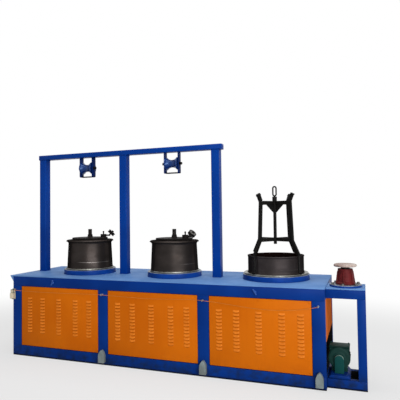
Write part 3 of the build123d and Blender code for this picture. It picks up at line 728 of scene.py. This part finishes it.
# orange sheet panels with pressed louvres
panelSettings = {
    "gap": 0.0045, "sheet": 0.004, "edge": 0.0018, "fold": 0.003, "foldDepth": 0.03,
    "hoodWidth": 0.058, "hoodHeight": 0.018, "hoodDepth": 0.0105, "bow": 0.005,
    # the next keys size the painted shadow strip under each hood
    "shadowStrip": 0.006, "shadowShare": 0.94, "shadowDepth": 0.0009,
    "columns": (-0.37, -0.206, 0.0, 0.206, 0.37), "endColumns": (-0.206, 0.0, 0.206),
    "rows": 12, "pitch": 0.0319, "first": 0.158, "screwInset": 0.016, "screw": (0.005, 0.003, 0.0075, 0.0012)}
hoodSpots, hoodTurns, screwSpots, screwFacings = [], [], [], []


def sheetPanel(name, low, high, face, columns, node, paint=orangePaint):  # face: which way it looks
    s = panelSettings
    low, high, face = Vector(low), Vector(high), Vector(face)
    along, out = (1, 0) if face.x else (0, 1)
    for axis in (along, 2):
        low[axis] += s["gap"]
        high[axis] -= s["gap"]
    bm = bmesh.new()
    addBlock(bm, low, high, s["edge"])
    bm.normal_update()
    # the sheet's inner face takes the near-black finish: painted shade
    for f in bm.faces:
        f.material_index = 1 if f.normal.dot(face) < -0.9 else 0
    for axis in (along, 2):  # near-black stops behind the edges fill the gap to the frame: painted shade in the gaps
        for start in (low[axis] - s["gap"], high[axis] - s["fold"]):
            a, b = low.copy(), high.copy()
            a[axis], b[axis] = start, start + s["fold"] + s["gap"]
            a[out] = high[out] if face[out] < 0 else low[out] - s["foldDepth"]
            b[out] = a[out] + s["foldDepth"]
            addBlock(bm, a, b, mat=1)
    fixedPiece(name, bm, (paint, blackAndPaintedShade), slotOf[node], node)
    mid = (low + high) / 2

    def onFace(a, z):
        spot = Vector((0, 0, z))
        spot[along], spot[out] = a, high[out] if face[out] > 0 else low[out]
        return spot

    for column in columns:
        for row in range(s["rows"]):
            sideways = mid[along] + column * (face.x if along else -face.y)
            hoodSpots.append(onFace(sideways, low.z - s["gap"] + s["first"] + row * s["pitch"]))
            hoodTurns.append((math.pi / 2, 0, math.atan2(face.x, -face.y)))
    inset = s["screwInset"]
    for a in (low[along] + inset, mid[along], high[along] - inset):
        for z in (low.z + inset, high.z - inset):
            screwSpots.append(onFace(a, z))
            screwFacings.append(face)


def makePanels():
    s = panelSettings
    fronts = [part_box(f"front_panel_{number}") for number in (1, 2, 3)]
    for number, (low, high) in enumerate(fronts, 1):
        sheetPanel(f"front_sheet_{number}", (low.x, high.y - s["sheet"], low.z), high, (0, -1, 0),
                   s["columns"], f"front_panel_{number}")
    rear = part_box("rear_panels")[0].y
    for number, (low, high) in enumerate(fronts, 1):
        sheetPanel(f"rear_sheet_{number}", (low.x, rear, low.z), (high.x, rear + s["sheet"], high.z), (0, 1, 0),
                   s["columns"], "rear_panels")
    low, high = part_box("left_end_panel")
    sheetPanel("left_end_sheet", (high.x - s["sheet"], low.y, low.z), high, (-1, 0, 0),
               s["endColumns"], "left_end_panel")
    low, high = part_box("right_end_panel")
    # the right end sheet takes the lighter orange: painted light
    sheetPanel("right_end_sheet", low, high, (1, 0, 0), (), "right_end_panel", litEndOrange)
    drop = Vector((0, 0, (s["hoodHeight"] + s["shadowStrip"]) / 2))
    under = [spot - drop for spot in hoodSpots]  # painted shadow under each hood's lip
    # the hoods take the lighter orange, a painted highlight; the strips below them are a painted shadow
    for name, width, height, depth, finish, spots in (
            ("louvres", s["hoodWidth"], s["hoodHeight"], s["hoodDepth"], litHoodOrange, hoodSpots),
            ("louvre_shadow", s["hoodWidth"] * s["shadowShare"], s["shadowStrip"], s["shadowDepth"], louvreShadow, under)):
        sizes = {"Hood Width": width, "Hood Height": height, "Hood Depth": depth, "Bow": s["bow"]}
        grow(name, "orange_paint", louvreHoods, {**sizes, "Finish": finish}, spots, vectors={"turn": hoodTurns})
    growBolts("panel_screws", "orange_paint", s["screw"], orangePaint, screwSpots, screwFacings)


makePanels()
print("cabinet dressed:", len(hoodSpots), "louvres")

# overhead guide rollers
guideSettings = {
    "plateEdge": 0.0014, "plate": 0.007, "gap": 0.005, "bore": 0.01105, "flange": 0.013, "waist": 0.041,
    "nut": (0.014, 0.026, 0.019, 0.002), "rodDrop": 0.1, "rodBar": 0.0074, "rodBend": 0.022,
    "rodRise": 0.0021, "rodPast": 0.0083}


def makeGuides():
    s = guideSettings
    # the bracket plates take the darker blue: painted shade
    roundedCopy("guide_brackets", s["plateEdge"], shadedBracketBlue, limit=50)
    spots, facings = [], []
    rods = bmesh.new()
    for number in (1, 2):
        node = f"guide_roller_{number}"
        low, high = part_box(node)
        mid = (low + high) / 2
        half, outer = (high.x - low.x) / 2, (high.z - low.z) / 2
        edge = half - s["flange"]
        throat = outer - 0.003, edge - 0.001
        corners = [(s["bore"], -half), (outer, -half, 0.002), (outer, -edge, 0.002)]
        corners += arcCorners((throat[0], -throat[1]), (s["waist"], 0), throat, 18)
        corners += [(outer, edge, 0.002), (outer, half, 0.002), (s["bore"], half)]
        place = Matrix.Translation(mid) @ Matrix.Rotation(math.pi / 2, 4, "Y")
        turnedNode(node + "_turned", node, corners, [rollerBlue], place, sides=64)
        inner = half + s["gap"]  # inner faces of the bracket's plates
        outside = inner + s["plate"]
        for side in (-1, 1):
            spots.append((mid.x + side * outside, mid.y, mid.z))
            facings.append((side, 0, 0))
        left, level, bend = mid.x - inner - s["plate"] / 2, mid.z - s["rodDrop"], s["rodBend"]
        path = [(left, mid.y, level + bend + s["rodRise"])]
        for k in range(9):
            a = math.pi / 16 * k
            path.append((left + bend * (1 - math.cos(a)), mid.y, level + bend * (1 - math.sin(a))))
        path.append((mid.x + outside + s["rodPast"], mid.y, level))
        addTube(rods, path, s["rodBar"], 14)
    # the keeper rods are black in their own colour; the same near-black finish paints shade elsewhere
    fixedPiece("keeper_rods", rods, [blackAndPaintedShade], "black_paint", degrees=40)
    growBolts("axle_nuts", "blue_paint", s["nut"], darkSteel, spots, facings)


makeGuides()
print("guide rollers made")

# drums, seats, spindles and turntables
drumSettings = {
    "lip": 0.262, "lipHeight": 0.009, "foot": 0.252, "body": 0.239, "bellyOut": 0.0075, "bellyHeight": 0.13,
    "height": 0.318, "flange": 0.262, "flangeDepth": 0.042, "flangeEdge": 0.006, "flangeSlope": 0.011,
    "channelOut": 0.236, "channelIn": 0.209, "channelDepth": 0.004,
    "bore": 0.0353, "topBore": 0.0213, "topBoreDepth": 0.03,
    "seat": 0.285, "seatEdge": 0.004, "seatBore": 0.0351, "seatBoreDepth": 0.04,
    "spindle": 0.035, "spindleTop": 0.021, "shoulder": 0.331,
    "turntable": 0.197, "turntableHeight": 0.018, "rim": 0.022, "dish": 0.06,
    "hub": 0.038, "hubWaist": 0.031, "hubNeck": 0.026, "hubHeight": 0.034, "hubBore": 0.02105, "armEdge": 0.0015}


def makeDrum(node):
    s = drumSettings
    lip, foot, body, flange = s["lip"], s["foot"], s["body"], s["flange"]
    step, high, deep = s["lipHeight"], s["height"], s["channelDepth"]
    start, tipTop = high - s["flangeDepth"], high - s["flangeSlope"]
    tipLow = tipTop - s["flangeEdge"]
    corners = [(s["bore"], 0, 0, 1), (lip, 0, 0.001, 1), (lip, step, 0.002, 1), (foot + 0.002, step, 0.002),
               (foot, step + 0.003, 0.002), (body + s["bellyOut"], s["bellyHeight"], 0.02)]
    sag = body + 0.006, (start + tipLow) / 2 + 0.003
    corners += arcCorners((body, start), sag, (flange - 0.001, tipLow), 10)
    corners += [(flange, tipLow + 0.001, 0.002), (flange, tipTop, 0.003), (flange - s["flangeSlope"], high, 0.004),
                (s["channelOut"], high, 0.002), (s["channelOut"] - deep, high - deep, 0.003),
                (s["channelIn"] + deep, high - deep, 0.002), (s["channelIn"], high, 0.002),
                (s["topBore"], high), (s["topBore"], high - s["topBoreDepth"]), (s["bore"], high - s["topBoreDepth"])]
    turnedNode(node + "_casting", node, corners, [drumIron, ringSteel])


def makeSeat(number, radius):
    s = drumSettings
    low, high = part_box("drum_seats")
    rise, bore = high.z - low.z, s["seatBore"]
    floor = rise - s["seatBoreDepth"]
    corners = [(0, 0), (radius, 0, 0.002), (radius, rise, s["seatEdge"], 1), (bore, rise, 0, 1),
               (bore, floor, 0, 1), (0, floor, 0, 1)]
    turnedNode(f"drum_seat_{number}_turned", "drum_seats", corners, [seatBlue, seatSteel],
               standOn(f"drum_{number}", "drum_seats"))


def makeSpindle(node, shoulder):
    s = drumSettings
    low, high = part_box(node)
    top = high.z - low.z
    corners = [(0, 0), (s["spindle"], 0, 0.002), (s["spindle"], shoulder), (s["spindleTop"], shoulder),
               (s["spindleTop"], top, 0.004), (0, top)]
    turnedNode(node + "_turned", node, corners, [darkSteel], sides=48)


def makeTurntable(node):
    s = drumSettings
    edge, rim = s["turntable"], s["turntableHeight"]
    inner, hubTop = edge - s["rim"], rim + s["hubHeight"]
    corners = [(s["hubBore"], 0), (edge, 0, 0.002), (edge, rim, 0.004), (inner, rim, 0.002),
               (inner - 0.004, rim - 0.003, 0.002), (s["dish"], rim - 0.002, 0.01)]
    neck = s["hubNeck"]
    corners += arcCorners((s["hub"], rim), (s["hubWaist"], rim + 0.009), (neck + 0.001, hubTop - 0.002), 8)
    corners += [(neck, hubTop, 0.001), (s["hubBore"], hubTop)]
    turnedNode(node + "_turned", node, corners, [darkIron])


# small tilted sheaves on the arms
sheaveSettings = {"half": 0.016, "radius": 0.043, "rim": 0.007, "groove": 0.0385, "grooveHalf": 0.004,
                  "web": (0.016, 0.031), "dish": 0.005, "hub": 0.014, "rimIn": 0.034, "bore": 0.00805}


def makeSheave(node, mats):
    s = sheaveSettings
    joint = next(j for j in frame["joints"] if j["name"] == node + "_spin")
    turn = Vector(joint["axis"]).normalized().to_track_quat("Z", "Y").to_matrix().to_4x4()
    half, edge, groove, flat = s["half"], s["radius"], s["groove"], s["grooveHalf"]
    side, web, inner, outer = half - s["rim"], half - s["dish"], *s["web"]
    corners = [(s["bore"], -half), (s["hub"], -half, 0.001), (inner, -web, 0.002), (outer, -web, 0.002),
               (s["rimIn"], -half, 0.001, 1), (edge, -half, 0.002, 1), (edge, -side, 0.002, 1),
               (groove, -flat, 0.003, 1), (groove, flat, 0.003, 1), (edge, side, 0.002, 1), (edge, half, 0.002, 1),
               (s["rimIn"], half, 0.001), (outer, web, 0.002), (inner, web, 0.002), (s["hub"], half, 0.001),
               (s["bore"], half)]
    turnedNode(node + "_turned", node, corners, mats, Matrix.Translation(joint["pos_m"]) @ turn, sides=56, steps=3)


# sheaves 1 and 2 are alike; the dark iron on sheave 1 is painted shade, the lighter steel on sheave 2 painted light
for number, sheaveShadeLight in ((1, darkIron), (2, rimSteel)):
    makeDrum(f"drum_{number}")
    makeSeat(number, drumSettings["seat"])
    makeSpindle(f"spindle_{number}", drumSettings["shoulder"])
    makeTurntable(f"turntable_{number}")
    makeSheave(f"sheave_{number}", [sheaveShadeLight, darkSteel])
    roundedCopy(f"guide_arm_{number}", drumSettings["armEdge"], darkIron, limit=40)
print("drums made")

# finishing block and stripper
blockSettings = {
    "lip": 0.314, "lipHeight": 0.008, "radius": 0.274, "wall": 0.022, "rim": 0.004, "rimHeight": 0.01,
    "cove": 0.016, "height": 0.176, "floor": 0.043, "hub": 0.064, "hubFoot": 0.07, "hubTop": 0.084,
    "bore": 0.0353, "topBore": 0.0213, "topBoreDepth": 0.016, "seat": 0.325, "shoulder": 0.111,
    "legEdge": 0.0025, "braceEdge": 0.002}
linkSettings = {"half": 0.016, "bar": 0.0075, "points": 24}


def makeBlock():
    s = blockSettings
    lip, step, body, rim, top = s["lip"], s["lipHeight"], s["radius"], s["radius"] + s["rim"], s["height"]
    inner, floor, hubTop = body - s["wall"], s["floor"], s["hubTop"]
    under = hubTop - s["topBoreDepth"]
    corners = [(s["bore"], 0, 0, 1), (lip, 0, 0.001, 1), (lip, step, 0.002, 1), (rim, step, 0.003),
               (body, step + s["cove"], 0.01), (body, top - s["cove"], 0.006), (rim, top - s["rimHeight"], 0.003),
               (rim, top, 0.004), (inner, top, 0.005, 2), (inner, floor, 0.014, 2), (s["hubFoot"], floor, 0.01, 2),
               (s["hub"], hubTop, 0.004, 2), (s["topBore"], hubTop, 0, 2), (s["topBore"], under, 0, 2),
               (s["bore"], under, 0, 2)]
    turnedNode("drum_3_casting", "drum_3", corners, [blockIron, ringSteel, bowlIron])


def makeLink():  # long round link, in the plane that the node's box gives
    half, bar, count = linkSettings["half"], linkSettings["bar"], linkSettings["points"]
    low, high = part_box("lifting_link")
    mid, size = (low + high) / 2, high - low
    turn = math.atan2(size.y - 2 * bar, size.x - 2 * bar)
    straight = size.z / 2 - bar - half
    ring = ringPoints(half, count)
    upper, lower = ring[:count // 2], ring[count // 2:]
    path = [(x, z + straight) for x, z in upper] + [(-half, straight)]
    path += [(x, z - straight) for x, z in lower] + [(half, -straight)]
    bm = bmesh.new()
    addTube(bm, [mid + Vector((math.cos(turn) * x, math.sin(turn) * x, z)) for x, z in path], bar, 14, closed=True)
    piece = meshPiece("lifting_link_bar", bm, blackPaint)
    piece.data.shade_smooth()
    settle(piece, bodyOf["lifting_link"], "black_paint", "lifting_link")


makeBlock()
makeSeat(3, blockSettings["seat"])
makeSpindle("spindle_3", blockSettings["shoulder"])
roundedCopy("stripper_legs", blockSettings["legEdge"], blackPaint, limit=28)
roundedCopy("stripper_braces", blockSettings["braceEdge"], blackPaint, limit=28)
makeLink()
print("finishing block made")

# side table spindle
spindleSettings = {
    "flange": 0.137, "flangeEdge": 0.004, "flangeInner": 0.09, "neck": 0.038,
    "disc": 0.099, "discDepth": 0.023, "discFoot": 0.007, "discSide": 0.015, "discShoulder": 0.009,
    "dish": 0.05, "dishFloor": 0.0212, "eye": 0.02, "eyeFloor": 0.019, "housingEdge": 0.003,
    "bolts": 6, "boltCircle": 0.114, "boltStart": 0.35, "bolt": (0.012, 0.012, 0.016, 0.003)}


def makeSideSpindle():
    s = spindleSettings
    low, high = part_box("side_spindle_flange")
    mid, rise, edge = (low + high) / 2, high.z - low.z, s["flange"]
    corners = [(0, 0), (edge, 0, 0.002), (edge, rise, s["flangeEdge"], 1), (s["flangeInner"], rise, 0, 1),
               (0, rise, 0, 1)]
    turnedNode("side_spindle_plate", "side_spindle_flange", corners, [seatBlue, seatSteel])
    roundedCopy("side_spindle_housing", s["housingEdge"], redCasting)
    low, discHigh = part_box("side_spindle_disc")
    base, edge, neck = discHigh.z - low.z - s["discDepth"], s["disc"], s["neck"]
    dish, floor, foot = base + s["dishFloor"], base + s["eyeFloor"], s["discFoot"]
    corners = [(0, 0), (neck, 0, 0.001), (neck, base, 0.001), (edge - foot, base, 0.002, 1),
               (edge, base + foot, 0.003, 1), (edge, base + s["discSide"], 0.003, 1),
               (edge - s["discShoulder"], base + s["discDepth"], 0.004, 1),
               (s["dish"], dish, 0.01, 1), (s["eye"], dish, 0.003, 1),
               (s["eye"] - 0.002, floor, 0.002, 1), (0, floor, 0, 1)]
    turnedNode("side_spindle_top", "side_spindle_disc", corners, [darkSteel, wornDisc],
               standOn("side_spindle_flange", "side_spindle_disc"), sides=72)
    ring = ringPoints(s["boltCircle"], s["bolts"], s["boltStart"])
    spots = [(mid.x + x, mid.y + y, high.z) for x, y in ring]
    growBolts("flange_bolts", "steel", s["bolt"], boltSteel, spots, [(0, 0, 1)] * len(spots))


makeSideSpindle()

# motor
motorSettings = {
    "axis": 0.122, "boss": 0.05, "recess": 0.004, "shield": 0.093, "shieldDepth": 0.018, "body": 0.082,
    "cowl": 0.03, "cowlRise": 0.006, "fins": 26, "finRise": 0.01, "finEnds": 0.06, "finShift": 0.004,
    "foot": (0.036, 0.066), "footHeight": 0.062, "footFront": 0.04, "footBack": 0.02,
    "box": 0.085, "boxDepth": (0.026, 0.156), "boxLow": 0.041, "lid": 0.012, "lidOver": 0.003,
    "shieldBolts": 6, "shieldCircle": 0.072, "lidBolts": (0.075, 0.01), "bolt": (0.006, 0.005, 0.008, 0.001),
    "pedestalEdge": 0.004, "rubbed": 0.03, "baseEdge": 0.003}


def makeMotor():
    s = motorSettings
    low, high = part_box("motor")
    x, z, front, back, top = (low.x + high.x) / 2, low.z + s["axis"], low.y, high.y, high.z
    length, shield, body, deep = back - front, s["shield"], s["body"], s["shieldDepth"]
    place = Matrix.Translation((x, front, z)) @ Matrix.Rotation(-math.pi / 2, 4, "X")
    boss, recess, rise, cowl = s["boss"], s["recess"], s["cowlRise"], length - s["cowl"]
    corners = [(0, 0), (boss, 0, 0.001), (boss + 0.005, recess, 0.002), (shield - 0.012, recess, 0.003),
               (shield, recess + 0.004, 0.004), (shield, deep, 0.002), (body, deep + 0.002, 0.002),
               (body, cowl, 0.003), (body + rise, cowl + 0.004, 0.003), (body + rise - 0.002, length, 0.012),
               (0, length)]
    piece = turnedPiece("motor_casing", corners, place, [greenPaint, boxGreen], 72)
    bm = bmesh.new()
    bm.from_mesh(piece.data)
    near, far = s["foot"]
    for a, b in ((-far, -near), (near, far)):
        addBlock(bm, (x + a, front + s["footFront"], low.z),
                 (x + b, back - s["footBack"], low.z + s["footHeight"]), 0.003)
    wide, over, seam = s["box"], s["lidOver"], top - s["lid"]
    start, end = (front + d for d in s["boxDepth"])
    addBlock(bm, (x - wide, start, z + s["boxLow"]), (x + wide, end, seam), 0.006, 1, 3)
    addBlock(bm, (x - wide - over, start - over, seam), (x + wide + over, end + over, top), 0.004, 1, 3)
    bm.to_mesh(piece.data)
    bm.free()
    shadeByAngle(piece)
    settle(piece, rootBody, "green_paint", "motor")
    sizes = {"Fin Count": s["fins"], "Body Radius": body, "Fin Rise": s["finRise"],
             "Fin Length": length - s["finEnds"]}
    grow("motor_fins", "green_paint", motorFins, {**sizes, "Finish": greenPaint},
         place=place @ Matrix.Translation((0, 0, length / 2 - s["finShift"])))
    ring = ringPoints(s["shieldCircle"], s["shieldBolts"], 0.5)
    spots = [(x + a, front + recess, z + b) for a, b in ring]
    facings = [(0, -1, 0)] * len(spots)
    out, inset = s["lidBolts"]
    spots += [(x + a, y, top) for a in (-out, out) for y in (start + inset, end - inset)]
    facings += [(0, 0, 1)] * 4
    growBolts("motor_bolts", "green_paint", s["bolt"], greenPaint, spots, facings)
    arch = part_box("motor_pedestal")[1].z - s["rubbed"]  # the pedestal's crown, but for its front and back faces, is painted pale
    roundedCopy("motor_pedestal", s["pedestalEdge"], pedestalGreen, crownPaleGreen, steps=3, limit=40,
                pick=lambda face: face.calc_center_median().z > arch and abs(face.normal.y) < 0.9)
    roundedCopy("motor_base", s["baseEdge"], bluePaint)


makeMotor()
print("side table dressed")

# front fittings: foot covers, stop wire, its eyelets and switch, apron latches
fittingSettings = {"coverEdge": 0.005, "eyeRing": 0.0095, "eyeBar": 0.0025, "eyeOut": 0.012,
                   "eyeNut": 0.009, "eyeNutHeight": 0.004}
switchSettings = {"capShare": 0.6, "foot": 0.008, "shoulder": 0.006, "plate": 0.004, "gland": 0.009,
                  "button": 0.008, "buttonInset": 0.016, "rise": 0.01}
latchSettings = {
    "bar": 0.0062, "boss": 0.013, "bossOut": 0.008, "places": ((0.526, 0.05, 1), (2.706, 0.046, -1)),
    "path": ((-0.014, 0.013, -0.024), (-0.004, 0.014, -0.007), (0.004, 0.018, 0.008), (0.012, 0.026, 0.026))}


def makeEyes(wall):
    s = fittingSettings
    y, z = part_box("wire_eyelets")[0].y + s["eyeOut"], nodeMid("wire_eyelets").z
    bm = bmesh.new()
    for number in (1, 2, 3):  # one on each post right of a panel
        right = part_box(f"front_panel_{number + 1}")[0].x if number < 3 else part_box("top_rails")[1].x
        x = (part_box(f"front_panel_{number}")[1].x + right) / 2
        addTube(bm, [(x, y + a, z + b) for a, b in ringPoints(s["eyeRing"], 20)], s["eyeBar"], 8, closed=True)
        addRod(bm, (x, y + s["eyeRing"], z), (x, wall, z), s["eyeBar"], 10, 0.0003)
        addRod(bm, (x, wall - s["eyeNutHeight"], z), (x, wall, z), s["eyeNut"], 6, 0.0005)
    fixedPiece("wire_eyes", bm, [bareSteel], "steel", "wire_eyelets", degrees=40)


def makeSwitch():
    s = switchSettings
    low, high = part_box("stop_switch")
    mid, foot, side, plate = (low + high) / 2, s["foot"], s["shoulder"], s["plate"]
    cap, back = low.z + (high.z - low.z) * s["capShare"], high.y - plate + 0.001
    bm = bmesh.new()
    addBlock(bm, (low.x, low.y, low.z + foot), (high.x - side, back, cap), 0.006, 0, 3)
    addBlock(bm, (low.x + side, low.y + 0.004, cap), (high.x, back, high.z - foot), 0.005, 1, 3)
    addBlock(bm, (low.x + 2 * side, high.y - plate, low.z), (high.x, high.y, high.z - 0.003), 0.001, 1, 1)
    x = high.x - s["buttonInset"]
    addRod(bm, (x, mid.y, high.z - s["rise"]), (x, mid.y, high.z), s["button"], 18, 0.002, 1)
    addRod(bm, (mid.x, mid.y, low.z), (mid.x, mid.y, low.z + s["rise"]), s["gland"], 18, 0.002, 1)
    fixedPiece("stop_switch_case", bm, [beigePlastic, switchGreen], "beige_plastic", "stop_switch")


def makeLatches(wall):  # short handles, each on a boss
    s = latchSettings
    low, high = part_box("top_rails")
    bm = bmesh.new()
    for along, drop, lean in s["places"]:
        x, z = low.x + along, high.z - drop
        addRod(bm, (x, wall - s["bossOut"], z), (x, wall, z), s["boss"], 20, 0.002)
        addTube(bm, [(x + a * lean, wall - b, z + c) for a, b, c in s["path"]], s["bar"], 12)
    fixedPiece("apron_latches", bm, [latchBlue], "blue_paint", degrees=40)


def makeFittings():
    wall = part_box("top_rails")[0].y
    # the foot covers' grey carries a painted shadow along the floor
    roundedCopy("foot_covers", fittingSettings["coverEdge"], greyPaint, steps=3, limit=40)
    roundedCopy("stop_wire", 0, wireSteel)
    makeEyes(wall)
    makeSwitch()
    makeLatches(wall)


makeFittings()
print("fittings made")

# weld beads where the overhead frame and the seats stand on the plate
weldSettings = {"bead": 0.0036, "spacing": 0.0052, "lift": 0.001, "corner": 0.008, "seatPoints": 90, "seed": 7}


def makeWelds():
    s = weldSettings
    points, edges = [], []

    def loop(path):
        start, count = len(points), len(path)
        points.extend(path)
        edges.extend((start + k, start + (k + 1) % count) for k in range(count))

    low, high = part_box("overhead_posts")
    half, y = (high.y - low.y) / 2, (low.y + high.y) / 2
    straight = half - s["corner"]
    for x in (low.x + half, (low.x + high.x) / 2, high.x - half):
        for z in (low.z + s["lift"], high.z - s["lift"]):
            ring = []
            for cx, cy, turn in ((1, 1, 0), (-1, 1, 90), (-1, -1, 180), (1, -1, 270)):
                for k in range(4):
                    a = math.radians(turn + 30 * k)
                    ring.append((x + cx * straight + s["corner"] * math.cos(a),
                                 y + cy * straight + s["corner"] * math.sin(a), z))
            loop(ring)
    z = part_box("drum_seats")[0].z + s["lift"]
    for number, radius in ((1, drumSettings["seat"]), (2, drumSettings["seat"]), (3, blockSettings["seat"])):
        mid = nodeMid(f"drum_{number}")
        loop([(mid.x + a, mid.y + b, z) for a, b in ringPoints(radius, s["seatPoints"])])
    sizes = {"Bead Radius": s["bead"], "Bead Spacing": s["spacing"], "Seed": s["seed"]}
    grow("weld_beads", "blue_paint", weldBeads, {**sizes, "Finish": bluePaint}, points, edges)


makeWelds()
print("welds made")

# floor, light and background
stageSettings = {
    "floor": 14.0, "floorColour": (0.5, 0.5, 0.5), "floorRough": 0.8, "floorGloss": 0.1,
    "near": 0.62, "fadeStart": 1.9, "fadeEnd": 4.6, "fadeShape": (0.75, 1, 1),
    "world": 0.2, "worldColour": (0.96, 0.98, 1.0), "aim": (0, 0, 0.9)}
lampSettings = {  # x, y, z, watts, width, height
    "key": (4.0, -8.0, 5.6, 395, 6.5, 6.5), "fill": (-5.0, -5.0, 3.0, 12, 4.0, 4.0),
    "top": (0.0, 0.4, 5.6, 228, 5.0, 5.0), "front": (5.7, -7.0, 1.7, 545, 8.2, 1.6)}


def seenRays(w):  # camera, mirror and glass rays, which see the white
    path = w.node("ShaderNodeLightPath").outputs
    seen = w.math("MAXIMUM", path["Is Glossy Ray"], path["Is Transmission Ray"])
    return w.math("MAXIMUM", path["Is Camera Ray"], seen)


def showWhite(w, share, plain, white, ending):
    join = w.first("ShaderNodeMixShader", {0: share, 1: plain, 2: white})
    w.feed(w.tree.nodes[ending].inputs["Surface"], join)


def makeFloor():
    s = stageSettings
    bm = bmesh.new()
    bmesh.ops.create_grid(bm, x_segments=2, y_segments=2, size=s["floor"])
    mat, w, shader = startFinish("floorPale")
    w.feed(shader.inputs["Base Color"], (*s["floorColour"], 1))
    w.feed(shader.inputs["Roughness"], s["floorRough"])
    w.feed(shader.inputs["Specular IOR Level"], s["floorGloss"])
    far = w.node("ShaderNodeVectorMath", {0: w.place(s["fadeShape"])}, operation="LENGTH").outputs["Value"]
    fade = w.ramp(far, s["fadeStart"], s["fadeEnd"], s["near"], 1.0)
    share = w.times(fade, seenRays(w))
    showWhite(w, share, shader.outputs[0], w.first("ShaderNodeEmission"), "Material Output")
    meshPiece("studio_floor", bm, mat)


def makeLight():
    s = stageSettings
    scene.world = bpy.data.worlds.new("studio")
    scene.world.use_nodes = True
    w = Wiring(scene.world.node_tree)
    plain = w.tree.nodes["Background"]
    w.feed(plain.inputs["Color"], (*s["worldColour"], 1))
    w.feed(plain.inputs["Strength"], s["world"])
    white = w.first("ShaderNodeBackground", {"Color": (1, 1, 1, 1), "Strength": 1.0})
    showWhite(w, seenRays(w), plain.outputs[0], white, "World Output")
    for name, (x, y, z, watts, wide, tall) in lampSettings.items():
        lamp = bpy.data.lights.new(name, "AREA")
        lamp.shape = "RECTANGLE"
        lamp.energy, lamp.size, lamp.size_y = watts, wide, tall
        holder = linkObject(name, lamp)
        holder.location = (x, y, z)
        holder.rotation_euler = (Vector(s["aim"]) - holder.location).to_track_quat("-Z", "Y").to_euler()


makeFloor()
makeLight()
